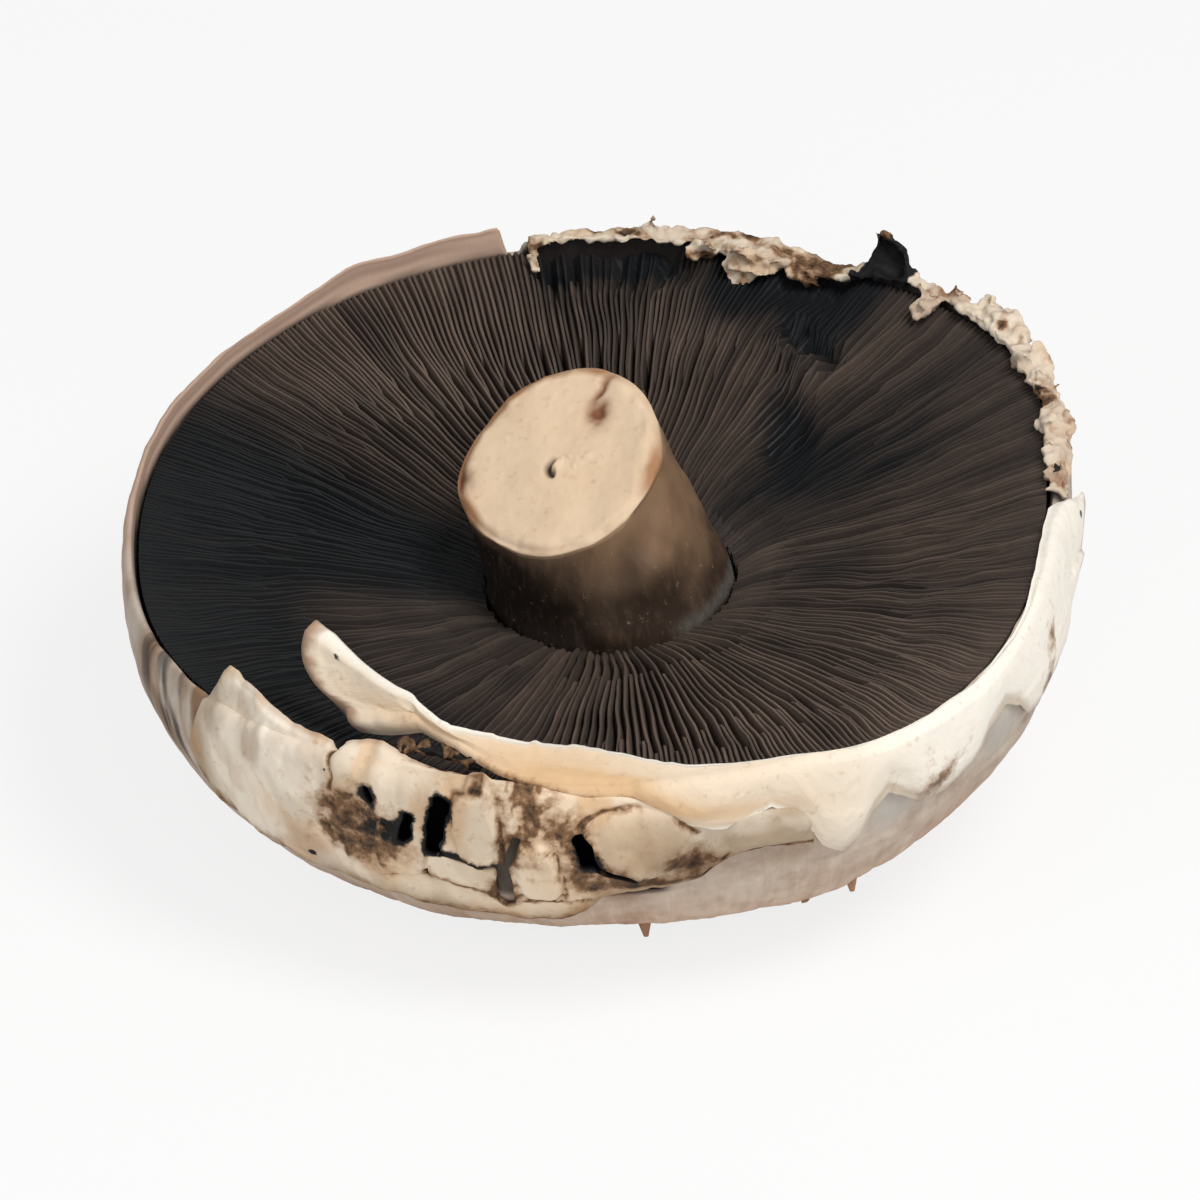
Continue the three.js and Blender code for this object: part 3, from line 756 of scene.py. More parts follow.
# %% The tree that lays out the lamellae
def lamellae_tree():
    """A ring of thin plates of four lengths, bent to the section. Sizes are in millimetres."""
    sizes = {
        "Count": 480, "Seed": 4,
        "Stem Radius": STEM_BASE + 0.1, "Rim Radius": RIM_MEAN - 0.5,
        "Drop": GILL_DROP, "Edge Depth": GILL_EDGE_DEPTH, "Fullness": GILL_FULLNESS,
        "Thickness": 0.7, "Jitter": 3.5, "Front Gap": 0.12,
    }
    tree, size = new_tree("ring of lamellae", sizes)

    # one block, which knows how far along, across and up each of its points is
    block = add(tree, "GeometryNodeMeshCube", {"Vertices X": 18, "Vertices Y": 2, "Vertices Z": 2})
    place = add(tree, "ShaderNodeSeparateXYZ", {0: add(tree, "GeometryNodeInputPosition")}).node.outputs
    for name, axis in {"along": 0, "side": 1, "up": 2}.items():
        block = add(
            tree, "GeometryNodeStoreNamedAttribute",
            {"Geometry": block, "Name": name, "Value": place[axis]}, data_type="FLOAT", domain="POINT",
        )

    # a circle of points, each of which knows its blade's turn, inner end and tone
    circle = add(tree, "GeometryNodeMeshCircle", {"Vertices": size["Count"], "Radius": 1.0})
    turn = add(tree, "ShaderNodeMath", {0: place[1], 1: place[0]}, operation="ARCTAN2")
    number = add(tree, "GeometryNodeInputIndex")
    rank = add(tree, "FunctionNodeIntegerMath", {0: number, 1: 4}, operation="MODULO")
    reach = add(tree, "GeometryNodeIndexSwitch", {"Index": rank}, data_type="FLOAT").node
    while len(reach.index_switch_items) < 4:
        reach.index_switch_items.new()
    for rank_number, share in enumerate([0.0, 0.5, 0.04, 0.34]):
        reach.inputs[rank_number + 1].default_value = share
    reach = reach.outputs[0]
    room = add(tree, "ShaderNodeMath", {0: size["Rim Radius"], 1: size["Stem Radius"]}, operation="SUBTRACT")
    short = add(tree, "ShaderNodeMapRange", {"Value": reach, "From Max": 0.1})
    facing = add(tree, "ShaderNodeMath", {0: turn}, operation="SINE")
    sparse = add(
        tree, "ShaderNodeMapRange",
        {"Value": facing, "From Min": -0.45, "From Max": -0.95, "To Max": size["Front Gap"]},
    )
    share = add(tree, "ShaderNodeMath", {0: sparse, 1: short, 2: reach}, operation="MULTIPLY_ADD")
    base = add(tree, "ShaderNodeMath", {0: share, 1: room, 2: size["Stem Radius"]}, operation="MULTIPLY_ADD")
    chance = add(tree, "FunctionNodeRandomValue", {"Seed": size["Seed"]}, 1, data_type="FLOAT")
    looseness = add(tree, "ShaderNodeMapRange", {"Value": short, "To Min": 0.5, "To Max": size["Jitter"]})
    inner = add(tree, "ShaderNodeMath", {0: chance, 1: looseness, 2: base}, operation="MULTIPLY_ADD")
    for name, value in {"turn": turn, "inner": inner, "tone": chance, "short": short}.items():
        circle = add(
            tree, "GeometryNodeStoreNamedAttribute",
            {"Geometry": circle, "Name": name, "Value": value}, data_type="FLOAT", domain="POINT",
        )
    blades = add(tree, "GeometryNodeInstanceOnPoints", {"Points": circle, "Instance": block})
    blades = add(tree, "GeometryNodeRealizeInstances", {0: blades})

    # bend every blade to the section: a radius, the gill surface's height there, and the blade's depth
    own = {
        name: add(tree, "GeometryNodeInputNamedAttribute", {"Name": name}, data_type="FLOAT")
        for name in ("along", "side", "up", "turn", "inner", "short")
    }
    along_blade, up_blade = (
        add(tree, "ShaderNodeMath", {0: own[name], 1: 0.5}, operation="ADD") for name in ("along", "up")
    )
    radius = add(
        tree, "ShaderNodeMapRange",
        {"Value": along_blade, "To Min": own["inner"], "To Max": size["Rim Radius"]},
    )
    outward_here = add(
        tree, "ShaderNodeMapRange",
        {"Value": radius, "From Min": size["Stem Radius"], "From Max": size["Rim Radius"]},
    )
    fall = add(tree, "ShaderNodeMath", {0: outward_here, 1: 1.0}, operation="SUBTRACT")
    top = add(tree, "ShaderNodeMath", {0: fall, 1: size["Drop"]}, operation="MULTIPLY")
    half_turn = add(tree, "ShaderNodeMath", {0: outward_here, 1: math.pi}, operation="MULTIPLY")
    swell = add(tree, "ShaderNodeMath", {0: half_turn}, operation="SINE")
    depth = add(
        tree, "ShaderNodeMath",
        {0: swell, 1: size["Fullness"], 2: size["Edge Depth"]}, operation="MULTIPLY_ADD",
    )
    slope_ends, end_height, thinner = (
        add(tree, "ShaderNodeMapRange", {"Value": value, "To Min": low, "To Max": high})
        for value, low, high in ((own["short"], 0.04, 0.3), (own["short"], 0.85, 0.2), (up_blade, 4.5, 0.4))
    )
    rounding = add(
        tree, "ShaderNodeMapRange", {"Value": along_blade, "From Max": slope_ends, "To Min": end_height},
        interpolation_type="SMOOTHERSTEP",
    )
    stands = add(tree, "ShaderNodeMath", {0: up_blade, 1: rounding}, operation="MULTIPLY")
    sunk = add(tree, "ShaderNodeMath", {0: stands, 1: 1.0}, operation="SUBTRACT")
    blade_height = add(tree, "ShaderNodeMath", {0: sunk, 1: depth, 2: top}, operation="MULTIPLY_ADD")
    thickness = add(tree, "ShaderNodeMath", {0: thinner, 1: size["Thickness"]}, operation="MULTIPLY")
    aside = add(tree, "ShaderNodeMath", {0: own["side"], 1: thickness}, operation="MULTIPLY")
    straight = add(tree, "ShaderNodeCombineXYZ", {"X": radius, "Y": aside, "Z": blade_height})
    bent = add(
        tree, "ShaderNodeVectorRotate", {"Vector": straight, "Angle": own["turn"]}, rotation_type="Z_AXIS"
    )
    shaped = add(tree, "GeometryNodeSetPosition", {"Geometry": blades, "Position": bent})
    return end_tree(tree, shaped, size["Material"])

# %% Gill flesh: thin, moist-looking but matt plates, brown-black with spores
gill_paints = ("edge", "tone", "painted_shadow_blue", "painted_light", "bruise")
gill_flesh, tree, shader, own = new_material("spore-brown gill flesh", 0.62, 1.38, gill_paints)
place = add(tree, "ShaderNodeTexCoord", output="Object")
mottle, fine = (
    add(tree, "ShaderNodeTexNoise", {"Vector": place, "Scale": 1000 / mm, "Detail": detail})
    for mm, detail in ((5, 4), (0.7, 2))
)
edge_tone = add(tree, "ShaderNodeMath", {0: own["tone"], 1: mottle}, operation="MULTIPLY")
side_colour, edge_colour = (
    add(tree, "ShaderNodeMix", {0: tone, 6: dark, 7: light}, 2, data_type="RGBA")
    for tone, dark, light in ((own["tone"], "#302824", "#453933"), (edge_tone, "#3a302b", "#6b5b50"))
)
lit_edge = add(tree, "ShaderNodeMapRange", {"Value": own["edge"], "From Min": 0.55, "From Max": 1.0})
colour = side_colour
# Over the plates' colour: lit edges, painted bluish shadow, painted light, and the dark bruise and tear with
# painted shade.
for cover, over in (
    (lit_edge, edge_colour), (own["painted_shadow_blue"], "#0f1519"), (own["painted_light"], "#8a776a"), (own["bruise"], "#0f1215"),
):
    colour = add(tree, "ShaderNodeMix", {0: cover, 6: colour, 7: over}, 2, data_type="RGBA")
dress(tree, shader, colour, fine, 0.3, 0.0002)
print("gill flesh:", len(tree.nodes), "nodes")

# %% Grow the lamellae, then let them wave and sag
lamellae = grown("lamellae", lamellae_tree(), {"Count": 480, "Seed": 4, "Material": gill_flesh})
mesh = lamellae.data
x, y, z = read_points(mesh, "co").T


def mesh_paint(name):
    """What the tree stored on the lamellae's points under a name."""
    values = np.empty(len(mesh.vertices), np.float32)
    mesh.attributes[name].data.foreach_get("value", values)
    return values.astype(float)


up = mesh_paint("up") + 0.5
blade_turn, tone = mesh_paint("turn"), mesh_paint("tone")
angle = np.arctan2(y, x) % (2 * math.pi)
r = np.hypot(x, y)
on_gills = np.stack([r * np.cos(blade_turn), r * np.sin(blade_turn), 0 * r], axis=-1)
free = smooth(r, 15, 22)
wave = free * (0.9 * noise(on_gills, 19, 51, 1) + 0.15 * noise(on_gills, 5.5, 53, 1) * smooth(r, 57, 50))
own_turn = 97 * blade_turn[:, None] + np.stack([r / 9, 0 * r, 0 * r], axis=-1)
wave += 0.16 * noise(own_turn, 1, 55) * up
angle = angle + wave / np.maximum(r, 10)
sag = 0.45 * noise(on_gills, 7, 57) + 0.34 * noise(own_turn, 1, 59)
z = z + up * (sag - 0.3) * smooth(r, 57.8, 53)
print("waves, mm:", round(float(np.abs(wave).max()), 2))

# %% The gills' damage: a dark bruise, a tear with a fold beside it, and ends broken short at the back
x, y = r * np.cos(angle), r * np.sin(angle)
bruise_at = np.hypot((x - 21.8) / 3.8, (y - 25.0) / 9.0) + 0.25 * noise(on_gills, 3.5, 61)
bruise = 1 - smooth(bruise_at, 0.45, 1.2)
tear_from, tear_to = np.array([22.2, 42.2]), np.array([27.9, 33.9])
tear_way = (tear_to - tear_from) / np.linalg.norm(tear_to - tear_from)
from_tear = np.stack([x, y], axis=-1) - tear_from
beside = from_tear @ np.array([-tear_way[1], tear_way[0]]) + 0.5 * noise(on_gills, 2.6, 63)
past_ends = np.abs(from_tear @ tear_way - 5) - 5
tear = np.exp(-((beside / 0.9) ** 2)) * (1 - smooth(past_ends, -1.0, 1.5))
folded = np.exp(-(((beside + 2.4) / 2.0) ** 2)) * (1 - smooth(past_ends, -1.5, 2.5))
lump = noise(np.stack([x, y, z], axis=-1), 2.2, 65, 3)
depth_here = gill_top(r) - gill_bed(r)
sunk = 0.16 * bruise * (1 + 0.6 * lump) + 0.5 * tear
z = z - up * depth_here * np.clip(sunk, 0, 0.6) + up * 0.8 * folded
angle = angle + (bruise * 0.5 * lump + folded * (0.7 + 0.5 * lump)) / np.maximum(r, 10)
degrees = np.degrees(angle) % 360
rear_sway = 2.2 * noise(on_gills, 5, 68)
broken = window(degrees, 76, 81, 97, 100)
broken = broken * smooth(r, 51 + 1.2 * noise(own_turn, 1, 67) + rear_sway, 54)
z = z - up * broken * (0.6 + 2.6 * tone)
z = z - up * (rear_dip(degrees) + edge_dip(degrees)) * smooth(r, 48, 56)
print("broken short:", round(float((broken > 0.5).mean() * 100), 1), "% of the points")

# %% Colour the gills by place, with painted shade and painted light, and lay them in the cap
# Painted shadow, bluish near black: over the left side, in a patch right of the stem, and on the fold beside
# the tear.
painted_left_shadow = window(degrees, 138, 158, 232, 262)
painted_left_shadow *= 1 - 0.75 * smooth(degrees, 183, 203) * smooth(r, 43, 33)
painted_shade_blue_patch = np.exp(-1.5 * (((x - 28) / 7) ** 2 + ((y + 5) / 4.5) ** 2))
x, y = follow_rim(angle, r) * np.cos(angle), follow_rim(angle, r) * np.sin(angle)
# Painted shade on the gills at the back right: under the broken-down rim, on the ends broken short, beside
# the stem and over a wide band, mixed with random darker mottle.
painted_rim_shade = 1.2 * window(degrees, 47, 57, 72, 82)
painted_rim_shade = painted_rim_shade * smooth(r + 1.5 * noise(on_gills, 4, 71), 43, 51)
painted_rear_shade = 0.85 * window(degrees, 76, 82, 97, 100) * smooth(r + rear_sway, 50, 54)
painted_shade_by_stem = 0.5 * np.exp(-1.2 * (((x - 25) / 13) ** 2 + ((y - 15) / 8) ** 2))
mottle_and_painted_shade = 0.17 * smooth(noise(on_gills, 13, 69), 0.0, 0.7) + painted_shade_by_stem
mottle_and_painted_shade += 0.3 * smooth(noise(polar(blade_turn, 50, 0.2 * r), 2.6, 73, 3), 0.0, 0.6)
mottle_and_painted_shade += 0.3 * window(degrees, 6, 18, 44, 56)
# Painted light: paler gills at the front and at the back left.
painted_light = 0.26 * window(degrees, 250, 285, 325, 345) * (0.45 + 0.55 * smooth(r, 30, 42))
painted_light += 0.2 * window(degrees, 96, 106, 130, 142) * smooth(r, 28, 36)
painted_light *= 0.7 + 0.6 * smooth(noise(on_gills, 9, 75), -0.6, 0.6)
paints = {
    "edge": up * (1 - 0.8 * bruise),
    "painted_light": np.clip(painted_light, 0, 1),
    "painted_shadow_blue": np.clip(0.92 * painted_left_shadow + 0.65 * painted_shade_blue_patch + 0.5 * folded, 0, 1),
    # The bruise paint carries the dark bruise and the tear, and the painted shade above.
    "bruise": np.clip(0.85 * bruise + 1.6 * tear + painted_rim_shade + painted_rear_shade + mottle_and_painted_shade, 0, 1),
}
paint_points(mesh, paints)
mesh.vertices.foreach_set("co", lay(np.stack([x, y, z], axis=-1)).astype(np.float32).ravel())
for name in ("along", "side", "up", "turn", "inner", "short"):
    mesh.attributes.remove(mesh.attributes[name])
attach(lamellae, "root")
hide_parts("gills")
print("gills stand to z, mm:", round(1000 * max(v.co.z for v in mesh.vertices), 1))

# %% [markdown]
# ## The stem
# A short stalk, cut off on a slant with a knife. It is rows of rings: up the side, then in over the cut to
# its middle. The outermost rings lie on the slanted plane, so that cut and side meet in one edge. The cut
# shows pale flesh with a pit, a dent, a slit and a brown rim. The side has fine fibres; its near-black colour
# is painted shade, painted light makes it lighter at the right and the top, and its foot there is speckled
# grey.

# %% The stem's surface
STEM_FOOT = float(gill_bed(STEM_BASE)) - 0.4
STEM_BULGE = 1.5  # out to the left, under the cut
columns = np.linspace(0, 2 * math.pi, 200, endpoint=False)
side_share = np.concatenate([np.linspace(0, 0.9, 46), np.linspace(0.91, 1, 10)])
cut_share = np.concatenate([[0.985, 0.96, 0.93], np.linspace(0.9, 0.03, 44)])


def stem_side(angle, z):
    """The stem's side at an angle and a height, before it is cut."""
    rise = (z + GILL_DROP) / (CUT_HEIGHT + GILL_DROP)
    radius = STEM_BASE + (STEM_CUT - STEM_BASE) * smooth(rise, -0.3, 1.1)
    from_left = np.abs((angle - math.pi) % (2 * math.pi))
    from_left = np.minimum(from_left, 2 * math.pi - from_left)
    radius = radius + STEM_BULGE * np.exp(-((from_left / 0.55) ** 2)) * smooth(rise, 0.1, 0.9)
    radius = radius + 0.32 * noise(polar(angle, STEM_CUT, 0 * angle), 5.5, 74, 3) * smooth(rise, 0.2, 0.9)
    middle = STEM_LEAN * np.maximum(rise, 0) ** 1.3
    return np.stack([middle + radius * np.cos(angle), radius * np.sin(angle), z + 0 * angle], axis=-1)


def cut_height(points):
    """The slanted cut's height over points."""
    nx, ny, nz = CUT_NORMAL
    return CUT_HEIGHT - (nx * (points[..., 0] - STEM_LEAN) + ny * points[..., 1]) / nz


edge_z = np.full(len(columns), float(CUT_HEIGHT))
for _ in range(12):
    edge_z = cut_height(stem_side(columns, edge_z))
angle, share = np.meshgrid(columns, side_share)
side = stem_side(angle, STEM_FOOT + share * (edge_z - STEM_FOOT))
edge = stem_side(columns, edge_z)
middle = edge.mean(axis=0)
angle_cut, share_cut = np.meshgrid(columns, cut_share)
cut = middle + share_cut[..., None] * (edge - middle)
print("cut is", round(float(np.ptp(edge[:, 0])), 1), "by", round(float(np.ptp(edge[:, 1])), 1), "mm")

# %% Fibres on the side, and what the knife and the crumbling flesh left on the cut
ROLLED_ROWS = 6  # of the side, which roll over into the cut
stretched = side * [1, 1, 0.3]
outwards = np.stack([np.cos(angle), np.sin(angle), 0 * angle], axis=-1)
side_relief = 0.2 * noise(stretched, 2.2, 71, 4) + 0.4 * noise(side, 7, 73)
side_relief = side_relief * smooth(share, 1.0, 0.93) - 0.3 * smooth(share, 0.6, 0.3)
side = side + side_relief[..., None] * outwards
dx, dy = cut[..., 0] - middle[0], cut[..., 1] - middle[1]


def cut_spot(at_x, at_y, wide, tall):
    """1 at a place measured from the cut's middle, and next to 0 from twice wide and tall mm away."""
    return np.exp(-(((dx - at_x) / wide) ** 2 + ((dy - at_y) / tall) ** 2))


pit_off = np.hypot((dx + 1.0) / 0.9, (dy + 1.2) / 1.1)
pit = np.exp(-(((pit_off - 0.75) / 0.45) ** 2)) * smooth(dx, -0.6, -1.3)
crumbs = cut_spot(1.2, -0.9, 2.4, 1.1) * np.maximum(noise(cut, 0.9, 75), 0) + cut_spot(-0.7, -1.0, 0.6, 0.7)
dent = cut_spot(4.3, 5.0, 1.2, 1.8) * (1 + 0.4 * noise(cut, 1.2, 84))
slit_off = (dy - 8.2) - 1.1 * (dx - 5.0) + 0.6 * noise(cut, 1.4, 86)
slit = np.exp(-((slit_off / 0.9) ** 2) - ((dx - 5.0) / 1.3) ** 2)
notch = cut_spot(-12.9, 1.6, 1.5, 1.7) * (1 + 0.4 * noise(cut, 1.5, 88))
knife = np.sin(2.6 * (0.35 * dx + dy) + 1.5 * noise(cut, 9, 77)) * 0.035
cut_relief = 0.3 * noise(cut, 7, 79) + 0.05 * noise(cut, 1.1, 81, 3) + knife
cut_relief += 0.35 * crumbs - 0.9 * pit - 0.9 * dent - 0.6 * slit - 1.0 * notch
cut_relief += 0.3 * noise(cut, 2.2, 90) * smooth(share_cut, 0.75, 0.97)
cut_relief -= 0.7 * smooth(share_cut, 0.9, 1.0) ** 2
cut = cut + cut_relief[..., None] * np.array(CUT_NORMAL)
roll = -0.7 * smooth(share[-ROLLED_ROWS:], 0.93, 1.0)
side[-ROLLED_ROWS:] += roll[..., None] * np.array(CUT_NORMAL)
print("deepest mark in the cut, mm:", round(float(-cut_relief.min()), 1))

# %% Where light and shade are painted on the stem, where it is brown and holed, and the finished stalk
points = np.concatenate([side, cut])
on_side, on_cut = 0 * share, 0 * share_cut
up_stem = np.concatenate([share, 1 + on_cut])
round_stem = np.concatenate([angle, angle_cut])
upper_left = np.cos(round_stem - math.radians(125)) * 0.5 + 0.5
right = np.cos(round_stem - math.radians(340)) * 0.5 + 0.5
# Painted light on the stem's side: towards the right and the top, and high on the back left; low down and on
# the left it keeps its painted shade.
painted_light_side = smooth(right, 0.3, 1.0) * (0.1 + 0.9 * smooth(up_stem + 0.2 * noise(points, 4, 92), 0.25, 0.95))
painted_light_side += 0.5 * smooth(up_stem, 0.8, 0.99) * (1 - right)
painted_light_side += 0.3 * smooth(np.cos(round_stem - math.radians(115)), 0.3, 0.95) * smooth(up_stem, 0.1, 0.6)
rim_brown = np.concatenate([1 + on_side, smooth(share_cut, 0.84, 0.99)])
rim_brown *= 0.35 + 0.65 * smooth(upper_left, 0.5, 0.9) + 0.35 * noise(points, 5, 83)
paints = {
    "cut": np.concatenate([smooth(share, 0.965, 0.995), 1 + on_cut]),
    "painted_light_side": painted_light_side,
    "foot": smooth(right, 0.86, 0.99) * window(up_stem, 0.06, 0.1, 0.13, 0.22),
    "rim_brown": rim_brown,
    "hole": np.concatenate([on_side, np.clip(1.1 * pit, 0, 1)]),
    "brown": np.concatenate([on_side, np.clip(1.3 * dent + 1.1 * slit + 1.3 * notch, 0, 1)]),
    "fibre": points * [1, 1, 0.35],
}
stalk = ring_mesh("stalk", lay(points), paints)

# %% Stem flesh: firm, dry and matt, white inside that turns tan and brown where it was cut and handled
stem_paints = ("cut", "painted_light_side", "foot", "rim_brown", "hole", "brown")
stem_flesh, tree, shader, own = new_material("cut mushroom stem flesh", 0.6, 1.4, stem_paints)
place = add(tree, "ShaderNodeTexCoord", output="Object")
fibre_place = add(tree, "ShaderNodeAttribute", output="Vector", attribute_name="fibre")
clouds, grain, specks, threads = (
    add(tree, "ShaderNodeTexNoise", {"Vector": vector, "Scale": scale, "Detail": detail, **more})
    for vector, scale, detail, more in (
        (place, 1000 / 8, 3, {}),
        (place, 1000 / 1.2, 4, {}),
        (place, 1000 / 0.9, 5, {"Roughness": 0.7}),
        (fibre_place, 1 / 0.9, 4, {}),
    )
)
ragged_rim, foot_here = (
    add(tree, "ShaderNodeMath", {0: pattern, 1: own[name]}, operation="MULTIPLY")
    for pattern, name in ((clouds, "rim_brown"), (specks, "foot"))
)
fleck, rim_strength, thread_here, pale_speck = (
    add(tree, "ShaderNodeMapRange", {"Value": value, "From Min": low, "From Max": high, "To Max": most})
    for value, low, high, most in (
        (grain, 0.58, 0.75, 0.35),
        (ragged_rim, 0.08, 0.38, 0.9),
        (threads, 0.5, 0.8, 0.16),
        (specks, 0.62, 0.72, 0.5),
    )
)
cut_layers = (
    (clouds, "#dcbf9e"), (fleck, "#b8946f"), (rim_strength, "#a06f48"), (own["brown"], "#7d4f33"),
    (own["hole"], "#2e1d12"),
)
# The side's near-black base colour is painted shade, and the painted light lifts it.
side_layers = (
    (own["painted_light_side"], "#8c6e54"), (thread_here, "#8d7860"), (pale_speck, "#a08c72"), (foot_here, "#77746f"),
)
colours = []
for colour, layers in (("#e8cfb2", cut_layers), ("#1e140f", side_layers)):
    for cover, over in layers:
        colour = add(tree, "ShaderNodeMix", {0: cover, 6: colour, 7: over}, 2, data_type="RGBA")
    colours.append(colour)
stem_colour = add(tree, "ShaderNodeMix", {0: own["cut"], 6: colours[1], 7: colours[0]}, 2, data_type="RGBA")
relief = add(tree, "ShaderNodeMix", {0: own["cut"], 2: threads, 3: grain}, 0, data_type="FLOAT")
dress(tree, shader, stem_colour, relief, 0.3, 0.0003)
stalk.data.materials.append(stem_flesh)
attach(stalk, "root")
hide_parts("stem")
print("stalk done:", len(tree.nodes), "nodes")

# %% [markdown]
# ## The torn veil
# A young mushroom's gills are covered by a veil that joins the cap's edge to the stem. As the cap opens it
# tears, and what is left clings to the edge as a soft white strip. Each strip is a sheet that climbs the
# cap's side from its lower edge to the lip and goes on in over the gills; cloth simulation would drape it,
# but its shape is already known, so it is laid down by rule and then roughened. `veil_sheet` lays such a
# strip's line at each angle, and `faces_of` gives it its two faces.


# %% A strip's section at each angle
def veil_sheet(degrees, side_rows, top_rows, down, short, reach, rise, pull=0, lift=0, skew=0, bow=0):
    """A strip's line at each angle (rows, columns): mean radius, height, degrees, pull and lift.

    It starts `down` mm below the gill edge, ends its climb `short` mm below the lip, and goes in by `reach`
    and up by `rise`. `skew` and `bow` move its rows round the rim, and `pull` and `lift` move it in and up.
    """
    t = np.linspace(0, 1, side_rows)[:, None]
    u = np.linspace(0, 1, top_rows + 1)[1:, None]
    z_side = -down + np.sin(t * math.pi / 2) * (LIP_HEIGHT - short + down)
    r_side = outside_radius(z_side)
    r = np.concatenate([r_side, r_side[-1] - u * reach])
    z = np.concatenate([z_side, z_side[-1] + u * u * rise])
    over = np.concatenate([0.28 * t - 0.24, 0.04 + 0.96 * u])
    round_rim = degrees[None] - skew * over - bow * np.sin(math.pi * np.maximum(over, 0) ** 1.6)
    return r, z, round_rim, pull + 0 * r, lift + 0 * r


def faces_of(sheet, offset, thick):
    """The lower and upper face of a strip: its line moved out by offset, and by offset + thick."""
    r, z, degrees, pull, lift = sheet
    dr, dz = np.gradient(r, axis=0), np.gradient(z, axis=0)
    size = np.maximum(np.hypot(dr, dz), 1e-9)
    angle = np.radians(degrees)
    faces = []
    for distance in (offset, offset + thick):
        out = follow_rim(angle, r + dz / size * distance) - pull
        faces.append(polar(angle, out, z - dr / size * distance + lift))
    return faces


def lengthwise(points):
    """How far each point is along its column from the first row, in mm."""
    steps = np.linalg.norm(np.diff(points, axis=0), axis=-1)
    return np.concatenate([np.zeros_like(points[:1, :, 0]), np.cumsum(steps, axis=0)])


def from_lip_at(z):
    """How far down the skin from the lip a height on the cap's side is."""
    return skin_length - np.interp(z, outer_z, walked)


print("skin from lip to widest, mm:", round(float(from_lip_at(-WIDEST_DEPTH)), 1))

# %% The long band over the front and right edge, whose left end has peeled off and stands up
MM_PER_DEGREE = 1.056  # along the edge
THINNEST_VEIL = 0.14  # mm
degrees = np.arange(235.6, 361.6, 0.36)
front = polar(np.radians(degrees), SIDE_RADIUS, 0)
low_edge = [
    (235.6, 0.1), (264, -0.3), (268, 0.2), (273.5, 0.3), (276, 2.0), (278, 3.8), (281.5, 5.8), (284, 5.6),
    (288.5, 3.8), (291, 5.6), (292.5, 8.2), (294, 11.5), (296.5, 13.6), (298.5, 12.5), (300.3, 8.8),
    (302.5, 7.0), (305, 9.0), (307, 11), (311, 12), (316, 11), (319, 8), (323, 6.5), (326, 8.5), (329, 12),
    (334, 14), (350, 14), (356, 9), (361.6, 3.5),
]
inner_edge = [
    (235.6, 5.4), (238.6, 6.0), (242, 4.9), (246, 3.0), (252, 1.7), (258, 4.6), (264, 6.5), (268, 6.6),
    (274, 4.6), (280, 2.9), (290, 1.5), (312, 0.7), (325, 0.7), (345, 1.1), (354, 1.5), (361.6, 0.1),
]
inner_rise = [
    (234, 8.7), (242, 4.1), (246, 2.6), (252, 1.7), (264, 1.4), (268, 1.4), (287, 0.3), (362, 0.1),
]
peeled_in = [
    (234, 7.1), (240, 7.0), (246, 6.8), (252, 4.6), (258, 2.1), (264, 0.2), (266, 0), (350, 0),
    (361.6, -2.0),
]
peeled_up = [(234, 0.4), (240, 1.4), (246, 3.0), (252, 2.7), (258, 1.4), (264, 0.5), (271, 0)]
teeth = window(degrees, 243, 247, 276, 284)
tooth = np.maximum(noise(front, 2.1, 83, 2), -0.2)
sheet = veil_sheet(
    degrees, 46, 26,
    down=along(low_edge, degrees) + (0.35 * noise(front, 3.4, 85, 3)) * smooth(degrees, 271, 276),
    short=edge_dip(degrees) + 2.6 * smooth(degrees, 354, 361.6),
    reach=along(inner_edge, degrees) + 0.75 * teeth * tooth + 0.22 * noise(front, 4, 87, 2),
    rise=along(inner_rise, degrees),
    pull=along(peeled_in, degrees),
    lift=along(peeled_up, degrees),
    skew=along([(235.6, 10.3), (238.6, 10.2), (242, 8.2), (246, 4.4), (258, 0)], degrees),
    bow=along([(235.6, 2.9), (243, 0)], degrees),
)
height = sheet[1]
u = degrees[None] + 0 * height
across = lengthwise(faces_of(sheet, 0, 0)[0])
to_inner = across[-1] - across
on_band = np.stack([u * MM_PER_DEGREE, across * 2.6, 0 * across], axis=-1)
print("band is", round(float(across[-1].max()), 1), "mm wide at most")

# %% The band's thickness: thin at its edges and its two ends
silk = 0.16 * noise(on_band * [1, 0.5, 1], 5, 89, 3) + 0.06 * noise(on_band * [1, 0.4, 1], 1.6, 91, 2)
clings = skin_lumps(sheet[2], from_lip_at(height))
from_end = (degrees - degrees[0])[None] * 0.9 + 0 * across
from_tail = (degrees[-1] - degrees)[None] * MM_PER_DEGREE + 0 * across
low_taper = along([(235, 2.0), (276, 2.0), (286, 6.0), (362, 5.0)], degrees)[None]
tapers = (0.14 + 0.86 * smooth(across, -0.3, low_taper)) * (0.25 + 0.75 * smooth(to_inner, -0.1, 1.3))
tapers *= (0.8 + 0.2 * smooth(from_end, -0.2, 0.8)) * (0.3 + 0.7 * smooth(from_tail, 0, 4))
middle_thick = [(234, 1.9), (239, 1.7), (262, 1.3), (300, 1.2), (318, 1.0), (330, 0.5), (362, 0.6)]
thick = along(middle_thick, degrees)[None] * tapers
thick = np.maximum(thick + silk * smooth(across, 0, 1.5) * smooth(to_inner, 0, 1.2), THINNEST_VEIL)
back, outer = faces_of(sheet, 0.16 + clings * (to_inner > 8), thick)
print("band is", round(float(thick.min()), 2), "to", round(float(thick.max()), 2), "mm thick")

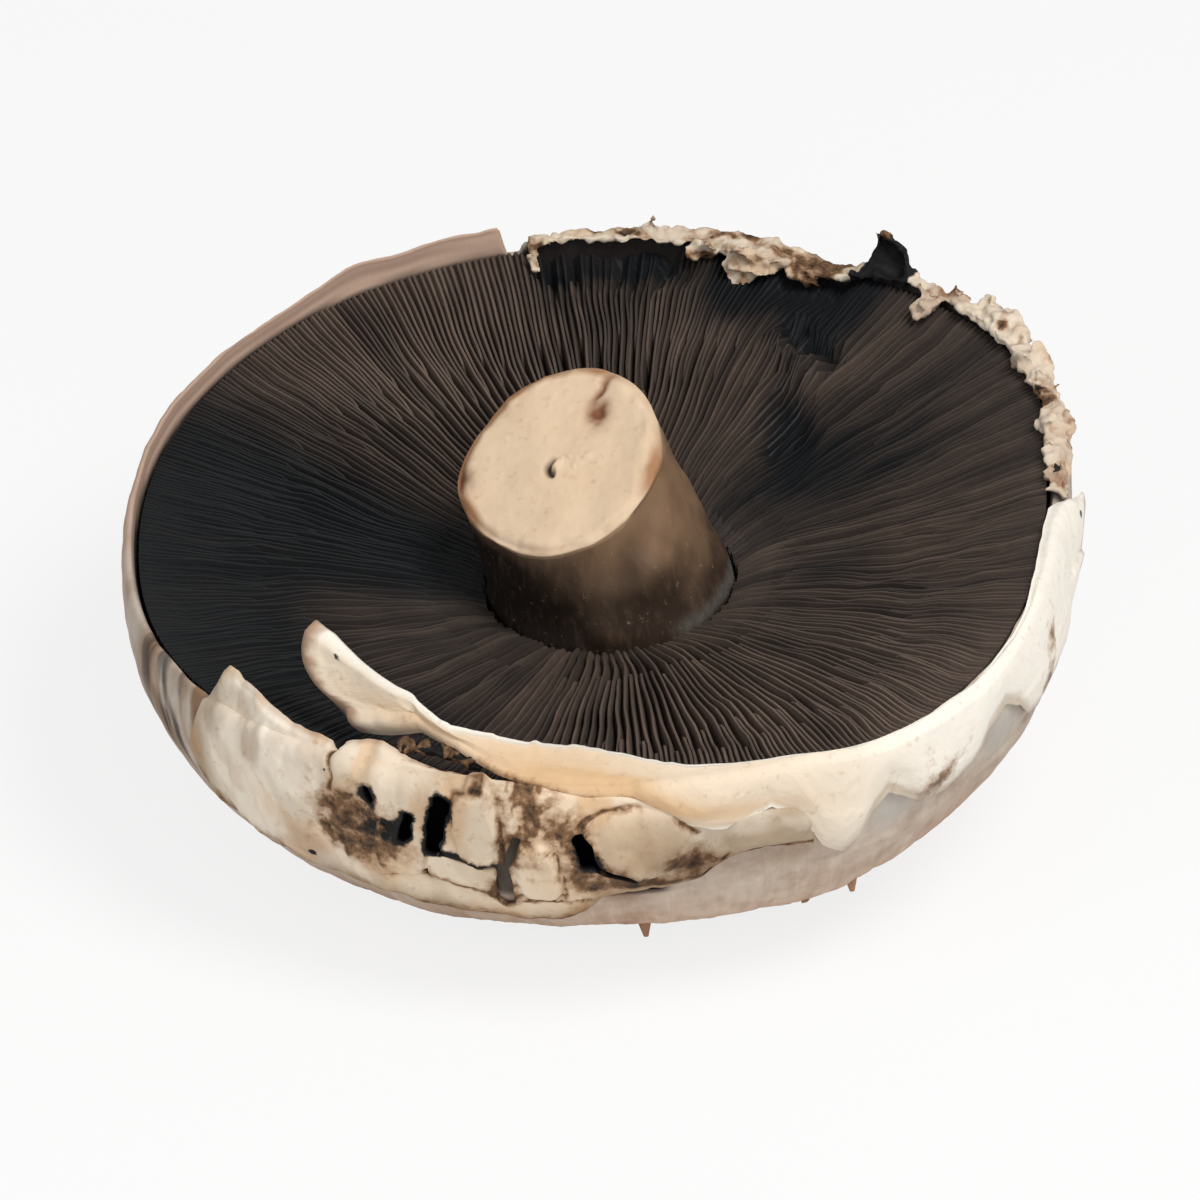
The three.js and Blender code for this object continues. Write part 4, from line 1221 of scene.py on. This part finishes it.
# %% The band's stains and painted light, and the finished band
brown = 0.95 * spot(u - 0.6 * (height + 9.0), height, 309.4, -9.0, 3.2, 2.7)
brown += 0.8 * smooth(across, 0.8, 0.1) * window(u, 254, 257, 275, 278)
brown += spots(u, height, (0.8, 336, -5, 2.0, 2.8), (0.95, 334.5, -10.8, 2.0, 3.6))
tan = spot(u, 0 * height, 276, 0, 17, 9) * np.exp(-(((to_inner - 6.2) / 1.5) ** 2))
tan += 0.8 * spot(u, height, 262, 0.4, 16, 2.2)
tan += 0.5 * spot(u, 0 * height, 247, 0, 9, 9) * smooth(to_inner, 2, 6)
low_rim = 1 - (1 - smooth(across, 0.1, 1.0)) * smooth(degrees, 276, 284)
mould_and_painted_shade = spot(u, 0 * height, 240, 0, 0.5, 9) * np.exp(-(((to_inner - 1.6) / 0.4) ** 2))
mould_and_painted_shade += 1.5 * spot(u, height, 357.2, -1.9, 0.6, 0.7) * (to_inner > 2)
thin_edge = smooth(u, 286, 300) * (1 - smooth(across + 0.5 * noise(on_band, 3, 98), 0.2, 2.6))
paints = {
    "brown": np.clip(brown, 0, 1),
    "torn": 1 - smooth(from_end + 0.5 * noise(on_band, 2, 97), 0.4, 2.2),
    "tan": np.clip(tan, 0, 1),
    # Painted light: the band grows whiter towards its right end, where the lamp falls.
    "white": smooth(u, 285, 315),
    "rim": 1 - smooth(to_inner, 0.2, 1.6) * low_rim,
    "mould_and_painted_shade": np.clip(mould_and_painted_shade, 0, 1),
    "grey": 0.75 * thin_edge,
    "place": on_band,
}
keep = np.ones((across.shape[0] - 1, across.shape[1] - 1), bool)
veil_band = sheet_mesh("veil_band", lay(outer), lay(back), keep, paints)

# %% Veil: a soft, matt membrane of pressed threads, nearly white, that browns where it tears and dries
veil_paints = ("brown", "torn", "tan", "white", "rim", "mould_and_painted_shade", "grey")
veil_skin, tree, shader, own = new_material(
    "soft white veil membrane", 0.62, 1.4, veil_paints, Sheen_Weight=0.15
)
silk_place = add(tree, "ShaderNodeAttribute", output="Vector", attribute_name="place")
place = add(tree, "ShaderNodeTexCoord", output="Object")
clouds, threads, grain, roots = (
    add(tree, "ShaderNodeTexNoise", {"Vector": vector, "Scale": scale, "Detail": detail, **more})
    for vector, scale, detail, more in (
        (place, 1000 / 9, 3, {}),
        (silk_place, 1 / 1.6, 4, {}),
        (place, 1000 / 0.8, 3, {}),
        (place, 1000 / 1.5, 6, {"Roughness": 0.62}),
    )
)
ragged_brown = add(tree, "ShaderNodeMath", {0: roots, 1: 1.8, 2: own["brown"]}, operation="MULTIPLY_ADD")
ragged_mould = add(tree, "ShaderNodeMath", {0: roots, 1: own["mould_and_painted_shade"]}, operation="ADD")
thread_here, brown_here, deep_here, mould_here = (
    add(tree, "ShaderNodeMapRange", {"Value": value, "From Min": low, "From Max": high, "To Max": most})
    for value, low, high, most in (
        (threads, 0.5, 0.75, 0.16),
        (ragged_brown, 1.05, 1.75, 1.0),
        (ragged_brown, 1.45, 2.15, 1.0),
        (ragged_mould, 0.85, 1.15, 1.0),
    )
)
cream, white, brown_depth = (
    add(tree, "ShaderNodeMix", {0: tone, 6: one, 7: other}, 2, data_type="RGBA")
    for tone, one, other in (
        (clouds, "#f1e2cd", "#e4cfb4"), (clouds, "#fbf6ec", "#f0e8da"), (deep_here, "#a67d57", "#2f2118"),
    )
)
colour = cream
for cover, over in (
    # whiter veil; on the band's right end this is painted light
    (own["white"], white),
    (thread_here, "#d9bf9f"),
    (own["tan"], "#dcb78c"),
    (own["rim"], "#faf3e6"),
    (own["torn"], "#b08f76"),
    (brown_here, brown_depth),
    # mould, and near-black painted shade round holes
    (mould_here, "#0d0d0e"),
):
    colour = add(tree, "ShaderNodeMix", {0: cover, 6: colour, 7: over}, 2, data_type="RGBA")
colour = add(
    tree, "ShaderNodeMix", {0: own["grey"], 6: colour, 7: "#b9ab9a"}, 2,
    data_type="RGBA", blend_type="MULTIPLY",
)
relief = add(tree, "ShaderNodeMath", {0: grain, 1: threads}, operation="ADD")
dress(tree, shader, colour, relief, 0.25, 0.0003)
veil_band.data.materials.append(veil_skin)
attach(veil_band, "root")
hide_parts("front_veil_flap")
print("band done:", len(tree.nodes), "nodes")

# %% [markdown]
# ## The torn left side
# At the front left the veil has dried onto the cap's side and cracked into plates, with holes that show the
# painted shade underneath, a patch of mould, and a ragged corner that stands up. The sheet is laid as before,
# on a fine grid. A field of distances says where it is torn: cells inside a hole are left out, and the points
# along each hole's edge are moved onto the field's zero line, so the edges are smooth and not stepped.

# %% The sheet and its cracks
degrees = np.arange(214.5, 293.1, 0.31)
front = polar(np.radians(degrees), SIDE_RADIUS, 0)
low_edge = [
    (214.5, 12.5), (220, 15), (226, 17.5), (236, 18.6), (244, 18.8), (245.5, 19.6), (254.8, 19.4),
    (258.5, 19.6), (263, 19.4), (266, 18.2), (268.6, 15.4), (274, 13.6), (280, 12.8), (282, 10.8),
    (284, 9.8), (288, 10.2), (293, 11.8),
]
below_lip = [
    (214.5, 8.5), (216.2, 4.6), (217.6, 0.4), (218.4, 0), (262, 0), (272, 0.3), (276, 1.2), (279, 2.8),
    (283, 4.4), (293, 5),
]
top_reach = [
    (214, 0.4), (223, 1.8), (230, 1.6), (237, 1.8), (242, 3.0), (246, 2.6), (250, 2.0), (254, 1.6),
    (258, 1.2), (264, 0.6),
]
top_rise = [
    (217.6, 0.0), (220, 4.4), (221.0, 5.6), (222.4, 5.4), (223.0, 4.3), (224.0, 4.3), (226.3, 3.7),
    (229.2, 2.9), (231.4, 1.7), (232.3, 1.8), (236.8, 1.4), (237.3, -0.4), (238.0, -0.3), (238.5, 1.3),
    (240, 1.9), (242, 2.3), (245, 2.0), (247, 1.0), (250, 0.3), (254, 0.1), (262, 0.1),
]
sheet = veil_sheet(
    degrees, 66, 20,
    down=along(low_edge, degrees) + 0.9 * noise(front, 4.5, 101, 4),
    short=along(below_lip, degrees),
    reach=along(top_reach, degrees),
    rise=along(top_rise, degrees) + 0.22 * noise(front, 1.8, 103, 2) * smooth(degrees, 219, 222),
)
u, height = sheet[2], sheet[1]
across = lengthwise(faces_of(sheet, 0, 0)[0])
to_top = across[-1] - across
on_sheet = np.stack([u * MM_PER_DEGREE, across, 0 * across], axis=-1)
ragged = 0.34 * noise(on_sheet, 1.7, 105, 2)
cracks = [  # from and to, each in degrees and z, and the width
    ((251.9, -1.4), (251.2, -4.4), 2.1),
    ((251.2, -4.4), (250.2, -7.6), 2.3),
    ((247.9, -3.8), (246.6, -7.4), 1.3),
    ((251.4, -7.9), (257.8, -9.0), 0.7),
    ((260.2, -4.8), (258.4, -9.8), 1.0),
    ((258.3, -10.0), (257.7, -15.0), 2.1),
    ((249.4, -12.2), (255.8, -13.5), 0.3),
    ((259.2, -14.6), (264.6, -14.8), 0.3),
    ((249.4, -8.0), (249.0, -11.5), 0.35),
    ((267.4, -5.4), (268.0, -7.8), 2.4),
    ((267.9, -7.6), (272.0, -10.2), 1.6),
    ((242.9, -1.6), (243.3, -2.2), 1.3),
]
field = np.minimum.reduce([crack(u, height, *c) for c in cracks]) + ragged
creases = [
    [(252.8, -5.6), (253.4, 0.0), (257.9, 0.6), (258.5, -3.0), (258.2, -8.6)],
    [(261, -5.2), (264.3, -7.0), (264.9, -13.6), (259.0, -13.8)],
    [(243.5, -13.7), (249.2, -12), (255.2, -13.2), (256.0, -14.7), (263.8, -14.5), (268, -15)],
    [(237.3, 1.4), (238.4, -1.0), (237.6, -3.4)],
    [(266.0, -5.0), (267.6, -2.8), (270.0, -1.4), (273.6, -1.0), (277.4, -2.6), (280, -5.6)],
    [(280.2, -12.2), (283.6, -9.2), (293, -10.6)],
    [(262, 0.9), (261.4, -2.2), (264.8, -4.6)],
]
steps = [(a, b) for crease in creases for a, b in zip(crease, crease[1:])]
crease_off = np.minimum.reduce([crack(u, height, a, b, 0) for a, b in steps])
crease = np.exp(-(((crease_off + 0.5 * ragged) / 0.3) ** 2)) * smooth(noise(on_sheet, 3.1, 106), -0.5, 0.4)
print("holes cover", round(float((field < 0).mean() * 100), 1), "% of the sheet")


# %% Plates, lumps, folds and thickness
def oval(at_degrees, at_z, wide, tall):
    """1 in the middle of an oval of half sizes in mm, 0 at its edge, and negative outside."""
    return 1 - ((u - at_degrees) * MM_PER_DEGREE / wide) ** 2 - ((height - at_z) / tall) ** 2


def raised(at_degrees, at_z, wide, tall, sharp):
    """A plate with a flat top: 1 inside an oval, and 0 outside."""
    away = np.sqrt(1 - oval(at_degrees, at_z, wide, tall))
    return smooth(away + 0.12 * noise(on_sheet, 2.4, 107), 1 + 1 / sharp, 1 - 1 / sharp)


layer_edge = [(243, -13.7), (249.2, -12), (255.2, -13.2), (256, -14.7), (264, -14.5), (268, -15)]
above_layer = height - along(layer_edge, u) + ragged
lump_at = np.clip(oval(273.3, -6.2, 6.7, 5.0), 0, 1) ** 0.55
mould_at = np.clip(2.2 * spot(u, height, 241.0, -7.6, 5.6, 4.9), 0, 1)
relief = 0.5 * noise(on_sheet * [1, 0.3, 1], 3.2, 109, 3) * smooth(u, 262, 232)
relief += 0.22 * noise(on_sheet, 4.5, 111, 3) - 0.6 * crease
relief += 1.1 * raised(255.6, -3.9, 2.7, 4.8, 9) + 1.0 * raised(262.0, -9.8, 2.7, 4.2, 9)
relief += 0.55 * smooth(above_layer, -0.15, 0.2) * window(u, 242, 244, 265, 269)
relief += lump_at * (2.3 + 0.55 * noise(on_sheet * [1, 0.7, 1], 2.8, 112, 4))
relief += 0.9 * np.clip(oval(288.0, -7.0, 5.2, 3.2), 0, 1) ** 0.6
relief += mould_at * (0.6 * noise(on_sheet, 1.5, 113, 3) - 0.35)
edges = smooth(to_top, -0.1, 1.2) * smooth(across, -0.1, 1.6)
curled = 0.35 * (1 - smooth(field, 0, 1.0)) * smooth(u, 248, 252)
thick = along([(214, 0.3), (220, 0.6), (226, 0.8), (271, 0.7), (293, 0.35)], u) * (0.3 + 0.7 * edges)
clings = skin_lumps(u, from_lip_at(height))
offset = 0.05 + clings + np.maximum(relief, -0.25) * (0.35 + 0.65 * edges) + curled
back, outer = faces_of(sheet, offset, np.maximum(thick, THINNEST_VEIL))

# move the points next to a hole onto its edge
NEAR_HOLE = 0.36  # mm
down_slope, side_slope = np.gradient(field)
steepness = np.maximum(down_slope**2 + side_slope**2, 1e-6)
step_down, step_side = (
    np.clip(-field * slope / steepness, -0.5, 0.5)[..., None] for slope in (down_slope, side_slope)
)
near = (np.abs(field) < NEAR_HOLE)[..., None]
for face in (back, outer):
    moved = step_down * np.gradient(face, axis=0) + step_side * np.gradient(face, axis=1)
    face += np.where(near, moved, 0)
keep = field[:-1, :-1] + field[1:, :-1] + field[:-1, 1:] + field[1:, 1:] > 0
print("relief, mm:", round(float(relief.min()), 1), "to", round(float(relief.max()), 1))

# %% Its stains, mould and painted shade, and the finished sheet
crumbly = smooth(noise(on_sheet, 1.3, 115, 3), -0.35, 0.35)
# Near black: specks of mould in the mould patch, and painted shade round the holes and cracks, so that they
# read deep.
black = spots(
    u, height,
    (1.2, 242.9, -1.9, 1.7, 1.6), (0.62, 243.0, -6.4, 4.4, 3.8), (1.4, 267.9, -7.6, 2.2, 2.6),
    (1.2, 271.6, -10.4, 3.2, 1.3), (0.5, 265.2, -5.0, 2.4, 1.3), (1.2, 233.2, -14.2, 0.7, 0.7),
    (0.8, 237.4, -0.5, 0.4, 0.4),
)
black += 0.9 * spot(u, height, 245.2, -5.8, 2.4, 1.8) * crumbly
black += np.exp(-((field / 0.5) ** 2)) * window(u, 243.5, 246, 256, 259) * smooth(height, -10, -8)
brown = spots(
    u, height,
    (0.9, 259, -6.4, 1.6, 2.6), (1.6, 268.0, -9.8, 3.6, 3.4), (0.8, 275, -12.6, 8, 1.0),
    (0.55, 261.6, -7.6, 1.4, 2.8), (1.2, 271.4, -11.6, 5.0, 1.7), (0.9, 277.2, -9.0, 2.6, 2.2),
    (0.7, 279.6, -9.6, 2.6, 3.4), (0.5, 284, -10, 6, 1.4), (1.1, 257.6, -13.2, 2.2, 2.6),
    (0.9, 265.6, -4.6, 1.8, 2.6),
)
brown += spots(u, height, (1.3, 261, 0.4, 4.2, 2.0), (1.5, 263.4, -2.8, 5.0, 2.6)) * (0.4 + 0.6 * crumbly)
brown += 1.5 * mould_at * (0.6 + 0.6 * crumbly) + 0.95 * crease + 0.5 * np.exp(-((field / 0.7) ** 2))
brown += 0.75 * smooth(across, 3.4, 0.8) * window(u, 240, 246, 264, 268)
brown += 0.5 * smooth(across, 5, 1) * smooth(u, 238, 226)
brown += 0.9 * spot(u, height, 250.5, 0.8, 8, 0.9) * crumbly * smooth(to_top, 1.6, 0.4)
torn = 0.45 * (1 - smooth(to_top + 0.4 * ragged, 0.1, 0.8)) * smooth(u, 219, 221)
torn += 0.3 * smooth(noise(on_sheet * [1, 0.8, 1], 4, 118, 4), 0.0, 0.6) * smooth(u, 258, 244)
tan = 0.3 * smooth(u, 258, 264) + 0.6 * smooth(noise(on_sheet * [1, 0.5, 1], 4, 117, 4), -0.1, 0.6)
grey = 0.32 * smooth(noise(on_sheet, 6, 119, 3), 0.0, 0.7) + 0.95 * smooth(across, 5, 0)
grey += smooth(u, 272, 280) * 0.6 + 0.9 * (1 - smooth(u, 216, 221)) + 0.75 * lump_at
paints = {
    "brown": np.clip(brown, 0, 1),
    "torn": torn,
    "tan": tan * (1 - 0.8 * smooth(u, 268, 276)),
    "white": 0.45 * smooth(u, 246, 228) + 0.9 * smooth(u, 273, 280),
    "grey": np.clip(grey, 0, 1),
    "rim": 0 * u,
    "mould_and_painted_shade": np.clip(black, 0, 1),
    "place": on_sheet,
}
veil_skirt = sheet_mesh("veil_skirt", lay(outer), lay(back), keep, paints)

# %% Dried veil: the same membrane, greyed and stained where it has dried onto the skin
dried_veil = veil_skin.copy()
dried_veil.name = "dried grey veil membrane"
shader = dried_veil.node_tree.nodes["Principled BSDF"]
shader.inputs["Roughness"].default_value = 0.75
shader.inputs["Sheen Weight"].default_value = 0.0
veil_skirt.data.materials.append(dried_veil)
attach(veil_skirt, "root")
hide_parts("left_veil_flap")
print("torn side done")

# %% [markdown]
# ## The crumbled back edge
# At the back and right only crumbs of the veil are left. A crumb has no front or back, so they are blobs
# strung along a thin strip, and a voxel remesh melts blobs and strip into one crust, which noise then
# breaks up. A curled scrap that has dried black stands among them.

# %% The thin strip that the blobs sit on
degrees = np.arange(-1.6, 99.1, 0.8)
front = polar(np.radians(degrees), SIDE_RADIUS, 0)
low_edge = [(-1.6, 1), (24, 5), (34, 3.5), (46, 0.4), (52, 0.4), (64, 4), (80, 2), (99, 1)]
inner_edge = [
    (-1.6, 1.0), (20, 1.6), (28, 1.8), (42, 1.8), (50, 1.6), (56, 2.2), (64, 3.4), (78, 2.6), (99, 1.9),
]
inner_rise = [(4, 0), (32, 0.2), (46, 0.6), (51, 0.9), (56, 0), (68, -0.2), (78, 0.3), (99, 0)]
middle_thick = [
    (4, 0.7), (14, 1.0), (32, 1.2), (46, 0.8), (54, 1.0), (62, 0.7), (72, 1.2), (84, 0.9), (99, 0.8),
]
sheet = veil_sheet(
    degrees, 14, 12,
    down=along(low_edge, degrees) + 0.5 * noise(front, 4, 121),
    short=along([(56, 0), (59.5, 1.7), (65, 1.7), (69, 0)], degrees),
    reach=along(inner_edge, degrees) + 0.5 * noise(front, 3, 123),
    rise=along(inner_rise, degrees) + 0.4 * noise(front, 5, 125),
)
low, high = faces_of(sheet, -0.1, along(middle_thick, degrees)[None] + 0 * sheet[0])
keep = np.ones((sheet[0].shape[0] - 1, len(degrees) - 1), bool)
crust = sheet_mesh("crust", high, low, keep, {})
crumbs = bmesh.new()
crumbs.from_mesh(crust.data)

# %% Blobs along the strip, and loose crumbs behind the torn left side
chunks = [
    # degrees, out from the gill edge, height, then half sizes across the edge, along it and up
    (-1.0, 1.7, 0.1, 0.8, 1.8, 0.8),
    (0.8, 1.2, 0.2, 0.9, 2.0, 0.8),
    (3.0, 1.0, 0.5, 1.1, 2.4, 0.9),
    (9.5, 0.4, 0.6, 1.6, 1.8, 1.0),
    (13.7, 0.6, 0.8, 2.1, 3.4, 1.3),
    (20.5, 1.9, 0.9, 0.7, 0.6, 0.6),
    (22.6, 0.4, 0.8, 1.8, 1.8, 1.2),
    (26.8, 0.6, 1.1, 2.3, 3.2, 1.5),
    (32.0, 1.6, 0.9, 2.0, 2.6, 1.3),
    (35.6, 2.6, 1.5, 2.6, 3.2, 1.6),
    (39.4, 2.6, 2.0, 1.0, 1.2, 1.5),
    (43.6, 2.0, 0.9, 1.2, 2.2, 1.2),
    (45.6, -1.2, 0.6, 3.0, 1.7, 1.0),
    (50.0, 1.2, 1.0, 1.0, 2.2, 0.9),
    (57.3, -1.8, 0.7, 1.1, 2.0, 1.0),
    (62.5, -2.4, -0.6, 1.3, 3.0, 0.8),
    (68.4, -3.0, 0.5, 2.8, 2.2, 1.2),
    (71.8, -3.8, 0.9, 3.9, 3.2, 1.7),
    (77.6, -2.0, 1.0, 2.8, 2.7, 1.5),
    (83.3, -0.2, 1.8, 1.0, 2.7, 0.9),
    (98.0, -2.2, -0.4, 2.2, 0.8, 0.8),
]
PLATES_PER_CHUNK, LOOSE_CRUMBS = 5, 130
rng = np.random.default_rng(12)
for at, out_by, up_by, *half_sizes in chunks:
    for _ in range(PLATES_PER_CHUNK):
        half = np.array(half_sizes) * rng.uniform([0.45, 0.45, 0.3], [0.85, 0.85, 0.6])
        made = bmesh.ops.create_icosphere(crumbs, subdivisions=3, radius=1.0)
        tilt = Matrix.Rotation(rng.normal(0, 0.5), 3, "X") @ Matrix.Rotation(rng.normal(0, 0.5), 3, "Y")
        shift = rng.uniform(-0.5, 0.5, 3) * half_sizes
        turn = Matrix.Rotation(math.radians(at), 3, "Z")
        centre = Vector((float(rim_radius(math.radians(at))) + out_by, 0, up_by)) + Vector(shift)
        for vertex in made["verts"]:
            vertex.co = turn @ (centre + tilt @ Vector(np.array(vertex.co) * half))
for _ in range(LOOSE_CRUMBS):
    at, size = rng.uniform(245.5, 256.5), rng.uniform(0.3, 0.8)
    out_at, up_at = 57.3 + rng.uniform(-0.9, 0.9), 3.1 - 0.12 * (at - 246) + rng.uniform(-0.6, 0.6)
    centre = polar(np.radians(at), out_at, up_at)
    made = bmesh.ops.create_icosphere(crumbs, subdivisions=2, radius=float(size))
    squash = rng.uniform(0.5, 1.3, 3)
    for vertex in made["verts"]:
        vertex.co = Vector(np.array(vertex.co) * squash + centre)
print("plates:", len(chunks) * PLATES_PER_CHUNK)

# %% The black curl, a scrap that rolled up as it dried, and the remesh that melts all into one crust
VOXEL = 0.3  # mm
curl_rows, curl_columns = 14, 9
t, w = np.meshgrid(np.linspace(0, 1, curl_rows), np.linspace(-1, 1, curl_columns), indexing="ij")
turn = np.radians(53.5 + w * (3.2 - 1.5 * t) - 0.4 * np.sin(math.pi * t) + 0.6 * t)
r_curl = 57.6 + 1.8 * np.sin(2.6 * t) - 1.4 * w * w * (1 - t)
z_curl = 0.2 + 6.0 * t - 1.2 * w * w * t
inner = polar(turn, follow_rim(turn, r_curl), z_curl)
outer = polar(turn, follow_rim(turn, r_curl + 1.1), z_curl + 0.3)
curl = sheet_mesh("curl", outer, inner, np.ones((curl_rows - 1, curl_columns - 1), bool), {})
crumbs.from_mesh(curl.data)
veil_crumbs = in_scene("veil_crumbs", bpy.data.meshes.new("veil_crumbs"))
crumbs.to_mesh(veil_crumbs.data)
crumbs.free()
for part in (crust, curl):
    bpy.data.objects.remove(part)
melt = veil_crumbs.modifiers.new("melt", "REMESH")
melt.mode, melt.voxel_size = "VOXEL", VOXEL
evaluated = veil_crumbs.evaluated_get(bpy.context.evaluated_depsgraph_get())
melted = bpy.data.meshes.new_from_object(evaluated)
veil_crumbs.modifiers.clear()
veil_crumbs.data = melted
print("crust:", len(melted.polygons), "faces")

# %% Break up the crust, paint it and lay it on the edge
points = read_points(melted, "co")
coarse = noise(points, 1.9, 131, 3)
rough = 0.45 * coarse + 0.18 * noise(points, 0.8, 133, 2) - 0.6 * np.abs(noise(points, 2.6, 134, 2))
points = points + rough[:, None] * read_points(melted, "normal")
z = points[:, 2]
degrees = np.degrees(np.arctan2(points[:, 1], points[:, 0])) % 360
debris = window(degrees, 240, 242, 260, 262)
# Painted shade: brown in the crust's hollows and in broad patches on its lumps.
painted_hollow_shade = smooth(-noise(points, 1.9, 131, 3), 0.0, 0.5) + 1.3 * smooth(noise(points, 4.5, 136, 2), 0.2, 0.6)
brown = smooth(z, 3.6, 4.6) * smooth(degrees, 49, 50) * (degrees < 58) + 0.55 * painted_hollow_shade + 1.1 * debris
brown += 0.9 * window(degrees, 59, 60.5, 64.5, 66)
black = window(degrees, 49.4, 50.4, 56.6, 57.6) * smooth(z, -0.4, 0.4)
black *= 1 - 0.6 * smooth(z, 4.6, 6.2)
black += spots(degrees, z, (0.8, 20.5, 1.6, 0.7, 0.8), (0.32, 77, 0, 2.2, 3))
torn = 0.35 * smooth(noise(points, 4, 135), 0, 0.8) + 0.5 * window(degrees, 41, 42.5, 46.5, 48)
paints = {
    "brown": np.clip(brown, 0, 1),
    "torn": torn + 0.6 * (degrees < 100) * smooth(degrees, 6, 3),
    "tan": 0.4 * smooth(noise(points, 3, 137), 0, 0.8),
    "white": 0.35 + 0 * z,
    "rim": 0 * z,
    "grey": 0.25 + 0 * z,
    "mould_and_painted_shade": np.clip(black + debris * smooth(noise(points, 1.5, 139), -0.1, 0.3), 0, 1),
    "place": points,
}
paint_points(melted, paints)
melted.vertices.foreach_set("co", lay(points).astype(np.float32).ravel())
shade_smooth(melted)
melted.materials.clear()
melted.materials.append(dried_veil)
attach(veil_crumbs, "root")
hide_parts("back_veil_fringe")
print("crust stands to z, mm:", round(1000 * max(v.co.z for v in melted.vertices), 1))
